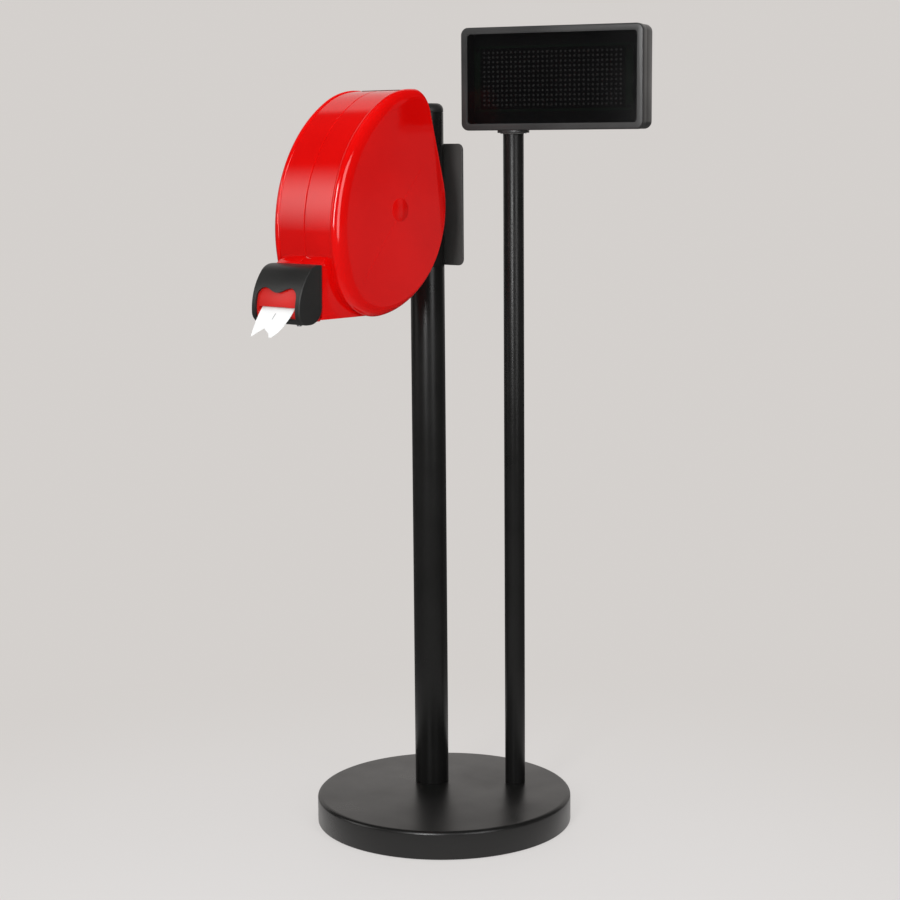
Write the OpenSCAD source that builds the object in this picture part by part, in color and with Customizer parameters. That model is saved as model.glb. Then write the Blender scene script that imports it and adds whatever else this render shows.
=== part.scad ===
// Floor stand with a red wall-type number-ticket dispenser and an LED counter display.
// Millimetres. The origin is the centre of the base on the floor, +Z is up, and the
// ticket leaves towards -Y. The housing is described in its own profile plane:
// u runs forward (-Y) from the main post's axis, and z runs up from the floor.

/* [Base] */
// Outer diameter of the round base
base_d = 320; // [280:5:380]
// Height of the base above the floor
base_h = 35.5; // [32:0.5:45]
// Radius of the base's top edge
base_edge_r = 5; // [3:0.5:8]
// Sheet thickness of the base cover
base_wall = 2; // [1.5:0.25:3]
// Thickness of the rubber floor pad
pad_t = 3; // [2:0.5:5]
// How far the pad stays inside the base's edge
pad_inset = 9; // [6:1:15]
// How far the cover's rim ends above the floor
rim_gap = 1; // [0.5:0.25:2]

/* [Main post] */
// Outer diameter of the main post
post_d = 42.4; // [38:0.1:48.3]
// Wall of the main post
post_wall = 2; // [1.5:0.25:3]
// Height of the main post's cap above the floor
post_top = 895; // [880:1:950]
// Main post's place across the base
post_x = -39; // [-45:1:-30]
// Main post's place along the base
post_y = 20; // [15:1:25]
// Height of the cap that shows above the tube
cap_h = 11; // [10:1:16]
// Rounding of the cap's edge
cap_edge_r = 8; // [4:0.5:9]
// Length of the cap's spigot in the tube
cap_spigot = 18; // [10:1:30]

/* [Display post] */
// Outer diameter of the display post
mast_d = 25.4; // [22:0.1:28]
// Wall of the display post
mast_wall = 1.5; // [1.2:0.1:2.5]
// Display post's place across the base
mast_x = 47; // [40:1:55]
// Display post's place along the base
mast_y = 84; // [75:1:90]

/* [Foot fixings] */
// Length of the threaded plug in each post's foot
plug_l = 25; // [20:1:35]
// Diameter of the foot bolts
foot_bolt_d = 10; // [8:0.5:12]
// Across-flats size of the foot bolts' heads
foot_head_d = 16; // [14:0.5:18]
// Height of the foot bolts' heads
foot_head_h = 6.4; // [5:0.2:8]
// Washer diameter under the foot bolts
foot_washer_d = 20; // [20:0.5:24]
// Washer thickness under the foot bolts
foot_washer_t = 2; // [1.5:0.25:3]

/* [Bracket] */
// Width of the plate behind the post
plate_w = 79; // [70:1:90]
// Height of the plate and of the saddle
plate_h = 149; // [130:1:160]
// Thickness of the plate
plate_t = 3; // [2:0.5:5]
// Corner radius of the plate
plate_r = 8; // [4:1:12]
// Height of the bracket's centre above the floor
plate_z = 771.5; // [765:0.5:775]
// Wall of the half-round saddle
saddle_t = 2.8; // [2.2:0.2:3.4]
// Diameter of the bracket's through bolts
mount_bolt_d = 6; // [5:0.5:6]
// Distance between the two through bolts
mount_pitch = 40; // [36:1:44]

/* [Housing] */
// Half width of the housing
half_w = 55; // [52:0.5:60]
// Half width of the flat band between the rims
band_half = 43; // [40:0.5:45]
// Height of the housing's flat top above the floor
house_top = 908.5; // [905:0.5:915]
// How far forward of the main post's axis the flat top begins
top_u = 70.7; // [68:0.1:74]
// Radii of the housing's outline, from the top forward and round
arc_r = [96, 170, 175, 64, 118, 134];
// Heading in degrees at which each of these arcs ends
arc_end = [30, 58, 108, 187, 242, 285];
// Radius of the top rear corner
corner_r = 16; // [10:1:18]
// How far the rims stand proud of the band at the front
rim_proud = 1.8; // [0.5:0.1:3]
// How far the flat side face lies inside the outline at the front
face_inset = 17; // [12:1:20]
// Wall of the moulded shells
shell_wall = 2.5; // [2:0.1:3.2]
// Gap between the two shells
seam_gap = 0.3; // [0.2:0.05:0.6]
// Width of the mounting pad in the fixed shell
pad_w = 36; // [30:1:40]
// Height of the mounting pad
pad_h = 66; // [60:1:72]
// Depth of the mounting pad from the housing's rear
pad_depth = 11; // [9:0.5:14]

/* [Neck and hood] */
// Half width of the neck under the band
neck_half = 38.5; // [36:0.5:40]
// Height of the neck's flat underside
neck_bottom = 646.5; // [645.5:0.5:648]
// Height of the crease where the neck leaves the band
neck_crease = 718.7; // [712:0.1:724]
// Height of the neck's top at its front
neck_front_z = 709.3; // [704:0.1:712]
// How far forward the neck reaches
neck_front_u = 221.5; // [216:0.5:224]
// Half width of the hood
hood_half = 40; // [38:0.5:42]
// Length of the hood, front to back
hood_l = 37.5; // [34:0.5:40]
// Wall of the hood
hood_wall = 2.5; // [2:0.1:3]
// How far the hood reaches below the neck
hood_drop = 4.5; // [3:0.5:5]
// Half width of the hood's mouth
mouth_half = 33; // [30:0.5:34]
// Height of the lip under the hood's mouth
mouth_lip = 7.5; // [5:0.5:9]

/* [Ticket] */
// Width of the ticket strip
ticket_w = 54; // [50:1:57]
// Modelled thickness of the ticket strip
ticket_t = 0.4; // [0.3:0.1:0.6]
// Radius of the strip's curl
curl_r = 120; // [100:5:150]
// Slope of the strip where it leaves the slot
curl_slope = 46; // [40:1:50]
// How far forward the slot's mouth is
slot_u = 247; // [245:0.5:248]
// Height of the slot's mouth
slot_z = 668; // [666:0.5:670]
// Length of strip outside the slot
ticket_out = 48; // [30:1:55]
// Length of strip inside the outlet
ticket_in = 58; // [50:1:60]
// Outer radius of the ticket roll
roll_r = 68; // [50:1:70]
// Hub's place forward of the main post's axis
hub_u = 106; // [104:0.5:108]
// Height of the hub
hub_z = 769.5; // [768:0.5:771]
// Radius of the spindle
spindle_r = 12.5; // [10:0.5:15]
// Wall of the roll's cardboard core
core_wall = 2.5; // [1.5:0.5:4]

/* [Latch] */
// Width of the latch bar across the seam
latch_w = 62; // [54:1:62]
// Length of the latch bar, front to back
latch_l = 18; // [15:0.5:20]
// How far the latch bar stands proud of the top
latch_proud = 1.2; // [0.6:0.1:2]
// Travel of the latch
latch_travel = 3.5; // [3:0.25:4]
// Wire diameter of the latch spring
spring_wire = 1; // [0.8:0.1:1.2]
// Mean radius of the latch spring
spring_r = 4.5; // [4:0.25:5]
// Turns of the latch spring
spring_turns = 5; // [4:1:6]

/* [Hinge] */
// Radius of the cover's hinge knuckles
knuckle_r = 4; // [3.6:0.1:4.4]
// Radius of the hinge pin
hinge_pin_r = 1.5; // [1.2:0.1:2]
// Number of knuckles, shared by turns
knuckles = 5; // [3:2:7]

/* [Display] */
// Width of the display
disp_w = 232; // [220:1:250]
// Height of the display
disp_h = 123.5; // [118:0.5:130]
// Depth of the display
disp_depth = 38.7; // [36:0.1:42]
// Top of the display above the floor
disp_top = 985; // [980:1:990]
// How far the display's left side lies left of its post
disp_left = 61; // [55:1:70]
// Turn of the display against the dispenser, degrees
disp_turn = 19.2; // [0:0.1:25]
// Depth of the display's front frame
bezel_depth = 14; // [11:0.5:16]
// Width of the frame round the window
bezel_w = 8; // [6:0.5:10]
// Corner radius of the display
disp_corner = 9; // [6:0.5:12]
// Wall of the display's housing
disp_wall = 2.5; // [2:0.25:3]
// How far the window lies behind the frame's front
window_recess = 1.5; // [1:0.25:3]
// Thickness of the window
window_t = 2; // [1.5:0.25:3]
// Columns of lamps
led_cols = 31; // [24:1:32]
// Rows of lamps
led_rows = 12; // [8:1:14]
// Distance between columns of lamps
led_pitch = 5.8; // [5:0.1:6]
// Distance between rows of lamps
row_pitch = 5.7; // [5:0.1:5.8]
// Diameter of a lamp
led_d = 3; // [2.5:0.1:3.5]
// Thickness of the flange under the display
flange_t = 3; // [2.5:0.25:4]
// Diameter of the flange under the display
flange_d = 39; // [36:1:44]
// Length of the display's spigot in its post
spigot_l = 45; // [35:1:60]
// Wall of the nylon bush round the spigot
bush_t = 2; // [1.5:0.25:3]
// Thickness of the bush's collar, which carries the display
collar_t = 1.2; // [0.8:0.1:2]

/* [Hidden] */

$fn = 96;
eps = 0.01;              // overlap of solids joined in one piece
fit = 0.1;               // radial clearance of fixed round fits
run = 0.08;              // radial clearance of turning fits
slack = 0.3;             // clearance between pieces that slide or swing past each other
black = [0.09, 0.09, 0.095];
red = [0.8, 0.02, 0.02];
steel = [0.62, 0.62, 0.64];
paper = [0.95, 0.95, 0.93];

base_r = base_d / 2;
post_r = post_d / 2;
mast_r = mast_d / 2;
weight_top = base_h - base_wall - fit;
post_in_r = post_r - post_wall;
mast_in_r = mast_r - mast_wall;
head_floor = pad_t + 1;          // the foot bolts' heads end this far above the floor
washer_z = head_floor + foot_head_h;

// ---- outline of the housing in the (u, z) plane, clockwise from the flat top ----
arc_start = concat([0], [for (i = [0:len(arc_end) - 2]) arc_end[i]]);
rear_heading = arc_end[len(arc_end) - 1];
arc_step = 7.5;
function turn(r, a, b) = r * [sin(b) - sin(a), cos(b) - cos(a)];
function sum2(v, n, i = 0) = i >= n ? [0, 0] : v[i] + sum2(v, n, i + 1);
arc_moves = [for (i = [0:len(arc_r) - 1]) turn(arc_r[i], arc_start[i], arc_end[i])];
// The straight top and the straight rear close the outline.
open_gap = sum2(arc_moves, len(arc_moves)) + turn(corner_r, rear_heading, 360);
rear_l = -open_gap[1] / -sin(rear_heading);
top_l = -open_gap[0] - rear_l * cos(rear_heading);
first = [top_u + top_l, house_top];
function arc_origin(i) = first + sum2(arc_moves, i);
corner_origin = arc_origin(len(arc_r)) + rear_l * [cos(rear_heading), -sin(rear_heading)];
function arc_points(o, r, a, b) =
    let (n = max(2, ceil((b - a) / arc_step)))
    [for (k = [0:n - 1]) let (h = a + (b - a) * k / n) concat(o + turn(r, a, h), [h])];
// Each entry is u, z and the heading there.
outline = concat(
    [for (i = [0:len(arc_r) - 1]) each arc_points(arc_origin(i), arc_r[i], arc_start[i], arc_end[i])],
    [concat(arc_origin(len(arc_r)), [rear_heading])],
    arc_points(corner_origin, corner_r, rear_heading, 360),
    [[top_u, house_top, 360]]);
rear_u = min([for (p = outline) p[0]]);
front_u = max([for (p = outline) p[0]]);
rear_z = [for (p = outline) if (p[0] == rear_u) p[1]][0];
rim_scale = rim_proud / (front_u - rear_u);
face_scale = face_inset / (front_u - rear_u);

// The outline moved inwards by w and scaled by s about its rearmost point.
function ring(x, s, w) = [for (p = outline)
    let (q = [p[0] - w * sin(p[2]), p[1] - w * cos(p[2])])
    [x, -(rear_u + (q[0] - rear_u) * s), rear_z + (q[1] - rear_z) * s]];
rim_steps = 6;
rim_x = band_half + 2.5;        // the crest of each rim

// Closed solid through rings of equal length, with flat ends.
module loft(rings) {
    n = len(rings[0]);
    last = (len(rings) - 1) * n;
    polyhedron(points = [for (r = rings) each r], faces = concat(
        [[for (k = [0:n - 1]) k]],
        [for (j = [0:len(rings) - 2], k = [0:n - 1], half = [0, 1])
            let (a = j * n + k, b = j * n + (k + 1) % n)
            half == 0 ? [a, a + n, b] : [b, a + n, b + n]],
        [[for (k = [n - 1:-1:0]) last + k]]), convexity = 6);
}

module in_house() translate([post_x, post_y, 0]) children();
// Extrudes a (u, z) outline across the housing from x0 to x1.
module across(x0, x1) translate([x0, 0, 0]) rotate([90, 0, 90])
    linear_extrude(x1 - x0) mirror([1, 0]) children();
module rod_x(x0, x1, u, z, r) translate([x0, -u, z]) rotate([0, 90, 0]) cylinder(r = r, h = x1 - x0);
module rod_u(u0, u1, x, z, r) translate([x, -u0, z]) rotate([90, 0, 0]) cylinder(r = r, h = u1 - u0);
module rod_z(x, u, z0, z1, r) translate([x, -u, z0]) cylinder(r = r, h = z1 - z0);
module box_xuz(x0, x1, u0, u1, z0, z1) translate([x0, -u1, z0]) cube([x1 - x0, u1 - u0, z1 - z0]);
module tube(r1, r2, z0, z1) translate([0, 0, z0]) difference() {
    cylinder(r = r1, h = z1 - z0);
    translate([0, 0, -1]) cylinder(r = r2, h = z1 - z0 + 2);
}
module at_posts() {
    translate([post_x, post_y, 0]) children();
    translate([mast_x, mast_y, 0]) children();
}

// ---- base ----
module floor_pad() color([0.05, 0.05, 0.05]) cylinder(r = base_r - pad_inset, h = pad_t, $fn = 180);

module base_weight() color([0.2, 0.2, 0.2]) difference() {
    translate([0, 0, pad_t])
        cylinder(r = base_r - base_wall - base_edge_r, h = weight_top - pad_t, $fn = 180);
    at_posts() {
        translate([0, 0, pad_t - 1]) cylinder(r = foot_bolt_d / 2 + 0.5, h = base_h);
        translate([0, 0, pad_t - 1])
            cylinder(r = foot_washer_d / 2 + 0.5, h = washer_z + foot_washer_t - pad_t + 1);
    }
}

module base_profile(r, edge, z0, z1) polygon(concat([[0, z0], [r, z0]],
    [for (a = [0:7.5:90]) [r - edge + edge * cos(a), z1 - edge + edge * sin(a)]], [[0, z1]]));

module base_cover() color(black) difference() {
    rotate_extrude($fn = 180) base_profile(base_r, base_edge_r, rim_gap, base_h);
    translate([0, 0, -eps]) rotate_extrude($fn = 180)
        base_profile(base_r - base_wall, base_edge_r - base_wall, rim_gap - 1, base_h - base_wall + eps);
    at_posts() translate([0, 0, base_h - base_wall - 1])
        cylinder(r = foot_bolt_d / 2 + 0.5, h = base_wall + 2);
}

module foot_bolts() color(steel) at_posts() {
    translate([0, 0, head_floor]) cylinder(r = foot_head_d / 2 / cos(30), h = foot_head_h, $fn = 6);
    translate([0, 0, washer_z - eps]) cylinder(r = foot_bolt_d / 2, h = base_h - washer_z + plug_l * 0.8);
}

module foot_washers() color(steel) at_posts()
    tube(foot_washer_d / 2, foot_bolt_d / 2 + 0.25, washer_z, washer_z + foot_washer_t);

module foot_plug(r) difference() {
    translate([0, 0, base_h]) cylinder(r = r - fit / 2, h = plug_l);
    translate([0, 0, base_h - 1]) cylinder(r = foot_bolt_d / 2 + fit / 2, h = plug_l + 2);
}
module main_foot_plug() color(steel) translate([post_x, post_y, 0]) foot_plug(post_in_r);
module display_foot_plug() color(steel) translate([mast_x, mast_y, 0]) foot_plug(mast_in_r);

// ---- posts ----
post_tube_top = post_top - cap_h;
mast_top = disp_top - disp_h - flange_t - run - collar_t;
bolt_z = [plate_z - mount_pitch / 2, plate_z + mount_pitch / 2];
saddle_front = rear_u - slack / 2;
pad_z0 = plate_z - pad_h / 2;
pad_z1 = plate_z + pad_h / 2;
pad_front = rear_u + pad_depth;
plate_rear = -post_r - plate_t;

module main_post() color(black) in_house() difference() {
    tube(post_r, post_in_r, base_h, post_tube_top);
    for (z = bolt_z) rod_u(-post_r - 1, post_r + 1, 0, z, mount_bolt_d / 2 + 0.3);
}

module post_cap() color(black) in_house() {
    translate([0, 0, post_tube_top]) rotate_extrude() base_profile(post_r, cap_edge_r, 0, cap_h);
    translate([0, 0, post_tube_top - cap_spigot]) cylinder(r = post_in_r - fit / 2, h = cap_spigot + eps);
}

module display_post() color(black) translate([mast_x, mast_y, 0]) tube(mast_r, mast_in_r, base_h, mast_top);

// ---- bracket ----
module rear_plate() color(black) in_house() difference() {
    translate([0, post_r + plate_t, plate_z]) rotate([90, 0, 0]) linear_extrude(plate_t) difference() {
        square([plate_w, plate_h], center = true);
        for (sx = [-1, 1], sz = [-1, 1])
            translate([sx * (plate_w / 2 - plate_r), sz * (plate_h / 2 - plate_r)]) difference() {
                translate([sx > 0 ? 0 : -plate_r - 1, sz > 0 ? 0 : -plate_r - 1]) square(plate_r + 1);
                circle(plate_r);
            }
    }
    for (z = bolt_z) rod_u(plate_rear - 1, 0, 0, z, mount_bolt_d / 2 + 0.3);
}

// Half-round seat on the post's front, filled out to a flat face for the housing's pad.
module saddle() color([0.14, 0.14, 0.145]) in_house() difference() {
    translate([0, 0, plate_z - plate_h / 2]) intersection() {
        union() {
            cylinder(r = post_r + saddle_t, h = plate_h);
            translate([-pad_w / 2, -saddle_front, 0]) cube([pad_w, saddle_front, plate_h]);
        }
        translate([-post_r * 2, -saddle_front, -1]) cube([post_r * 4, saddle_front, plate_h + 2]);
    }
    translate([0, 0, plate_z - plate_h]) cylinder(r = post_r + fit / 2, h = plate_h * 2);
    for (z = bolt_z) rod_u(post_r - 2, saddle_front + 1, 0, z, mount_bolt_d / 2 + 0.3);
}

mount_head_h = 3.6;
mount_washer_t = 1.6;
insert_l = pad_depth - 2;
module mount_bolts() color(steel) in_house() for (z = bolt_z) {
    rod_u(plate_rear - mount_washer_t - mount_head_h, plate_rear - mount_washer_t, 0, z, mount_bolt_d * 0.85);
    rod_u(plate_rear - mount_washer_t - eps, pad_front - 2, 0, z, mount_bolt_d / 2);
}
module mount_washers() color(steel) in_house() for (z = bolt_z) difference() {
    rod_u(plate_rear - mount_washer_t, plate_rear, 0, z, mount_bolt_d);
    rod_u(plate_rear - mount_washer_t - 1, plate_rear + 1, 0, z, mount_bolt_d / 2 + 0.2);
}
module mount_inserts() color([0.75, 0.6, 0.3]) in_house() for (z = bolt_z) difference() {
    rod_u(pad_front - insert_l, pad_front, 0, z, mount_bolt_d / 2 + 1.5);
    rod_u(pad_front - insert_l - 1, pad_front + 1, 0, z, mount_bolt_d / 2 + fit / 2);
}

// ---- housing shells, both drawn as the right-hand half ----
function rim_rings(x_end, s_end, w, x0, x_start) = concat(
    [ring(x0, 1, w), ring(x_start, 1, w)],
    [for (k = [0:rim_steps]) let (a = 90 * k / rim_steps)
        ring(rim_x + (x_end - rim_x) * sin(a), 1 + rim_scale - (rim_scale + s_end) * (1 - cos(a)), w)]);

neck_back_u = 150;
// The neck from the side; its inner form, at w > 0, runs out through the open front.
module neck_outline(w) {
    open_u = neck_front_u + (w > 0 ? 5 : 0);
    polygon([[neck_back_u, neck_bottom + w], [open_u, neck_bottom + w], [open_u, neck_front_z - w],
        [neck_front_u, neck_front_z - w], [front_u - 1.5, neck_crease - w], [neck_back_u, neck_crease - w]]);
}
module neck_solid(half, w, chamfer) intersection() {
    across(seam_gap / 2 - (w > 0 ? 2 : 0), half) neck_outline(w);
    // The chamfer runs along the neck's upper side edge.
    translate([0, -neck_front_u - 10, 0]) rotate([90, 0, 180]) mirror([1, 0, 0])
        linear_extrude(neck_front_u + 10 - neck_back_u) polygon([
            [-5, neck_bottom - 5], [half, neck_bottom - 5], [half, neck_front_z - w - chamfer],
            [half - chamfer, neck_crease - w + 0.1], [-5, neck_crease - w + 0.1]]);
}
neck_chamfer = 4;
block_back = neck_front_u - 21;
latch_gap = slack + 0.1;
latch_u1 = top_u + 10.1;
latch_u0 = latch_u1 - latch_l;
hinge_z = neck_bottom + knuckle_r;
// Where the seam runs below the hinge's axis it needs relief on both sides.
relief_u0 = min([for (p = outline) if (p[1] < hinge_z + 0.5) p[0]]) - 2;
hinge_u0 = relief_u0 + 6;
hinge_u1 = block_back - 1;
hinge_cut = knuckle_r + 1;

module shell_half() difference() {
    union() {
        loft(rim_rings(half_w, face_scale, 0, seam_gap / 2, band_half));
        neck_solid(neck_half, 0, neck_chamfer);
    }
    loft(rim_rings(half_w - shell_wall, face_scale * 0.9, shell_wall, -2, band_half));
    neck_solid(neck_half - shell_wall, shell_wall, neck_chamfer);
    // Opening for the latch bar, and the relief along the hinge.
    box_xuz(-1, latch_w / 2 + latch_gap, latch_u0 - latch_gap, latch_u1 + latch_gap,
        house_top - 15, house_top + 5);
    box_xuz(-1, hinge_cut, relief_u0, neck_front_u + 1, neck_bottom - 2, hinge_z + hinge_cut);
}

knuckle_l = (hinge_u1 - hinge_u0) / knuckles;
knuckle_gap = 0.3;
// Knuckles of one half: odd is 0 for the first, third and so on. The web joins them to the wall.
module knuckle_row(odd) difference() {
    for (k = [odd:2:knuckles - 1]) {
        u0 = hinge_u0 + k * knuckle_l + knuckle_gap / 2;
        u1 = u0 + knuckle_l - knuckle_gap;
        rod_u(u0, u1, 0, hinge_z, knuckle_r);
        box_xuz(0, hinge_cut + 0.5, u0, u1, hinge_z - 1.2, hinge_z + 1.2);
        box_xuz(hinge_cut - 0.2, hinge_cut + 2, u0, u1, neck_bottom + 1, hinge_z + 1.2);
    }
    rod_u(hinge_u0 - 1, hinge_u1 + 1, 0, hinge_z, hinge_pin_r + run);
}

// The cover's edge over the pad sinks this far while it passes the pad's side.
pad_swing = 2 * slack + pow(pad_w / 2, 2) / 2 / (pad_z1 - hinge_z);
rib_x = latch_w / 2 + latch_gap + 2.2;
rib_t = 3;
rib_bottom = house_top - shell_wall - 5.5;
boss_r = 13.5;
boss_proud = 0.4;
module right_cover() color(red) in_house() {
    difference() {
        shell_half();
        // Room for the mounting pad, which belongs to the fixed half, also while the cover swings.
        box_xuz(-1, pad_w / 2 + slack, 0, pad_front + slack, pad_z0 - slack, pad_z1 + pad_swing);
    }
    knuckle_row(1);
    box_xuz(rib_x, rib_x + rib_t, top_u, latch_u1, rib_bottom, house_top - shell_wall / 2);
    rod_x(half_w - shell_wall, half_w + boss_proud, hub_u, hub_z, boss_r);
}

guide_x = -latch_w / 2 - 5;
shelf_z = house_top - 28;
shelf_x = -16;
pad_left = -band_half - 8;
module left_shell() color(red) in_house() difference() {
    union() {
        mirror([1, 0, 0]) shell_half();
        mirror([1, 0, 0]) knuckle_row(0);
        // Mounting pad on the post, with its rib to the side wall.
        box_xuz(pad_left, pad_w / 2, saddle_front, pad_front, pad_z0, pad_z1);
        // Shelf under the latch spring.
        box_xuz(-half_w + shell_wall / 2, shelf_x + spring_r + 3, latch_u0, latch_u1, shelf_z - 3, shelf_z);
        // Screw bosses for the outlet block.
        for (z = block_screw_z) rod_x(-neck_half + 0.5, -block_half, block_screw_u, z, 5);
        // Seat of the spindle.
        rod_x(-half_w + shell_wall / 2, spindle_seat, hub_u, hub_z, spindle_seat_r);
    }
    for (z = bolt_z) {
        rod_u(0, pad_front + 1, 0, z, mount_bolt_d / 2 + 0.3);
        rod_u(pad_front - insert_l, pad_front + 1, 0, z, mount_bolt_d / 2 + 1.5 + fit / 2);
    }
    for (z = block_screw_z) rod_x(-neck_half - 5, 0, block_screw_u, z, small_screw_r + 0.25);
    for (a = spindle_screw_angles) rod_x(-half_w + shell_wall, spindle_seat + 1,
        hub_u + spindle_screw_pcr * cos(a), hub_z + spindle_screw_pcr * sin(a), small_screw_r + fit);
}

module hinge_pin() color(steel) in_house() rod_u(hinge_u0, hinge_u1, 0, hinge_z, hinge_pin_r);

// ---- latch ----
bar_top = house_top + latch_proud;
bar_bottom = house_top - 9;
arm_t = 3.4;
tooth_x = rib_x + rib_t + slack;
arm_bottom = bar_bottom - arm_t;
tooth_hook = latch_travel - 1.3;  // the tooth clears the rib well before the travel ends
module latch_bar() color(red) in_house() {
    box_xuz(-latch_w / 2, latch_w / 2, latch_u0, latch_u1, bar_bottom, bar_top);
    // Flange under the fixed shell's top, which stops the bar on its way up.
    box_xuz(guide_x, -latch_w / 2 + eps, top_u, latch_u1 - 4, bar_bottom, house_top - shell_wall - slack);
    // Arm and tooth, which hook behind the cover's rib.
    box_xuz(latch_w / 2 - 6, tooth_x + 3, latch_u0, latch_u1, arm_bottom, bar_bottom - 1);
    box_xuz(latch_w / 2 - 6, latch_w / 2, latch_u0, latch_u1, arm_bottom, bar_bottom + eps);
    box_xuz(tooth_x, tooth_x + 3, latch_u0, latch_u1, arm_bottom, rib_bottom + tooth_hook);
    rod_z(shelf_x, (latch_u0 + latch_u1) / 2, bar_bottom - 6, bar_bottom + eps,
        spring_r - spring_wire / 2 - slack);
}

// Compression spring as one wound wire, ground flat by its end turns on the shelf and the bar.
spring_z0 = shelf_z + spring_wire / 2 + 0.1;
spring_z1 = bar_bottom - spring_wire / 2 - 0.1;
spring_steps = 12;
spring_sides = 6;
module latch_spring() color(steel) in_house() translate([shelf_x, -(latch_u0 + latch_u1) / 2, 0]) {
    n = spring_turns * spring_steps;
    rings = [for (j = [0:n]) let (a = 360 * j / spring_steps, z = spring_z0 + (spring_z1 - spring_z0) * j / n)
        [for (k = [0:spring_sides - 1])
            let (b = -360 * k / spring_sides, q = spring_r + spring_wire / 2 * cos(b))
            [q * cos(a), q * sin(a), z + spring_wire / 2 * sin(b)]]];
    loft(rings);
}

// ---- outlet, hood and ticket ----
block_half = neck_half - shell_wall - 0.5;
block_top = slot_z + 20;
block_bottom = neck_bottom + shell_wall + 1;
block_screw_u = neck_front_u - 10;
block_screw_z = [neck_bottom + 11.5, neck_bottom + 35.5];
small_screw_r = 1.5;
curl_c = [slot_u - curl_r * sin(curl_slope), slot_z - curl_r * cos(curl_slope)];
slot_half = ticket_w / 2 + 0.8;
slot_gap = 0.9;

module ticket_band(x0, x1, extra) difference() {
    rod_x(x0, x1, curl_c[0], curl_c[1], curl_r + ticket_t / 2 + extra);
    rod_x(x0 - 1, x1 + 1, curl_c[0], curl_c[1], curl_r - ticket_t / 2 - extra);
}
hood_bottom = neck_bottom - hood_drop;
nose_gap = 0.3;           // between the block's nose and the hood's inside
block_front_bottom = hood_bottom + hood_wall + nose_gap;
module outlet_block() color(red) in_house() difference() {
    union() {
        box_xuz(-block_half, block_half, block_back, neck_front_u + 1, block_bottom, block_top);
        // The nose, whose front follows the hood's inside just behind the mouth.
        intersection() {
            across(-block_half, block_half) polygon(hood_points(hood_wall + nose_gap));
            box_xuz(-block_half, block_half, neck_front_u + 1 - eps, hood_u0 + hood_l,
                hood_bottom, block_top);
        }
    }
    // The paper's curved way through the block, in at the top and out at the front.
    ticket_band(-slot_half, slot_half, slot_gap / 2);
    for (z = block_screw_z) rod_x(-block_half - 1, -block_half + 8, block_screw_u, z, small_screw_r + fit);
    for (sx = [-1, 1]) rod_z(sx * hood_screw_x, hood_screw_u, block_front_bottom - 1,
        block_front_bottom + 9, small_screw_r + fit);
}

module block_screws() color(steel) in_house() for (z = block_screw_z) {
    rod_x(-neck_half - 1.8, -neck_half, block_screw_u, z, small_screw_r * 1.9);
    rod_x(-neck_half - eps, -block_half + 7, block_screw_u, z, small_screw_r);
}

hood_u0 = neck_front_u + 0.4;
hood_top_z = neck_front_z + 0.6;
hood_h = hood_top_z - hood_bottom;
hood_r1 = 22;
hood_r3 = 13;
// Hood's side outline: a short flat top, three arcs and a flat bottom, inset by w.
hood_bend = [0, 50, 92, 180];
hood_r2 = (hood_h - hood_r1 * (1 - cos(50)) - hood_r3 * (1 + cos(92))) / (cos(50) - cos(92));
hood_r = [hood_r1, hood_r2, hood_r3];
hood_moves = [for (i = [0:2]) turn(hood_r[i], hood_bend[i], hood_bend[i + 1])];
hood_reach = max([for (a = [50:2:92]) (sum2(hood_moves, 1) + turn(hood_r2, 50, a))[0]]);
hood_first = [hood_u0 + hood_l - hood_reach, hood_top_z];
hood_heel_r = 20;         // the cheeks' lower rear corner, which shows the block behind it
hood_edge_r = 5;          // between the hood's top and its cheeks
function hood_points(w) = concat([[hood_u0 - (w > 0 ? 1 : 0), hood_top_z - w]],
    [for (i = [0:2]) each [for (k = [0:8]) let (h = hood_bend[i] + (hood_bend[i + 1] - hood_bend[i]) * k / 8)
        hood_first + sum2(hood_moves, i) + turn(hood_r[i], hood_bend[i], h) - w * [sin(h), cos(h)]]],
    w > 0 ? [[hood_u0 - 1, hood_bottom + w]] : [for (h = [180:10:270])
        [hood_u0 + hood_heel_r, hood_bottom + hood_heel_r] + hood_heel_r * [sin(h), cos(h)]]);
module hood_section(w) translate([0, -hood_u0 + 5, 0]) rotate([90, 0, 0]) linear_extrude(hood_l + 10)
    for (side = [0, 1]) mirror([side, 0]) polygon(concat(
        [[-1, hood_bottom - 5], [hood_half - w, hood_bottom - 5]],
        [for (a = [0:15:90]) [hood_half - w, hood_top_z - w] - hood_edge_r * [1 - cos(a), 1 - sin(a)]],
        [[-1, hood_top_z - w]]));
mouth_bump_x = 21.5;
mouth_bump_z = slot_z + 16;
mouth_dip = 5.6;
mouth_r = mouth_half - mouth_bump_x;
mouth_z0 = hood_bottom + mouth_lip;
module mouth_shape() polygon(concat([[-mouth_half, mouth_z0], [mouth_half, mouth_z0]],
    [for (a = [0:10:80]) [mouth_bump_x + mouth_r * cos(a), mouth_bump_z - mouth_r * (1 - sin(a))]],
    [for (t = [1:-0.1:-1.001]) [mouth_bump_x * t, mouth_bump_z - mouth_dip / 2 * (1 + cos(180 * t))]],
    [for (a = [100:10:180]) [-mouth_bump_x + mouth_r * cos(a), mouth_bump_z - mouth_r * (1 - sin(a))]]));
hood_screw_x = 24;
hood_screw_u = neck_front_u + 22.5;
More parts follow.
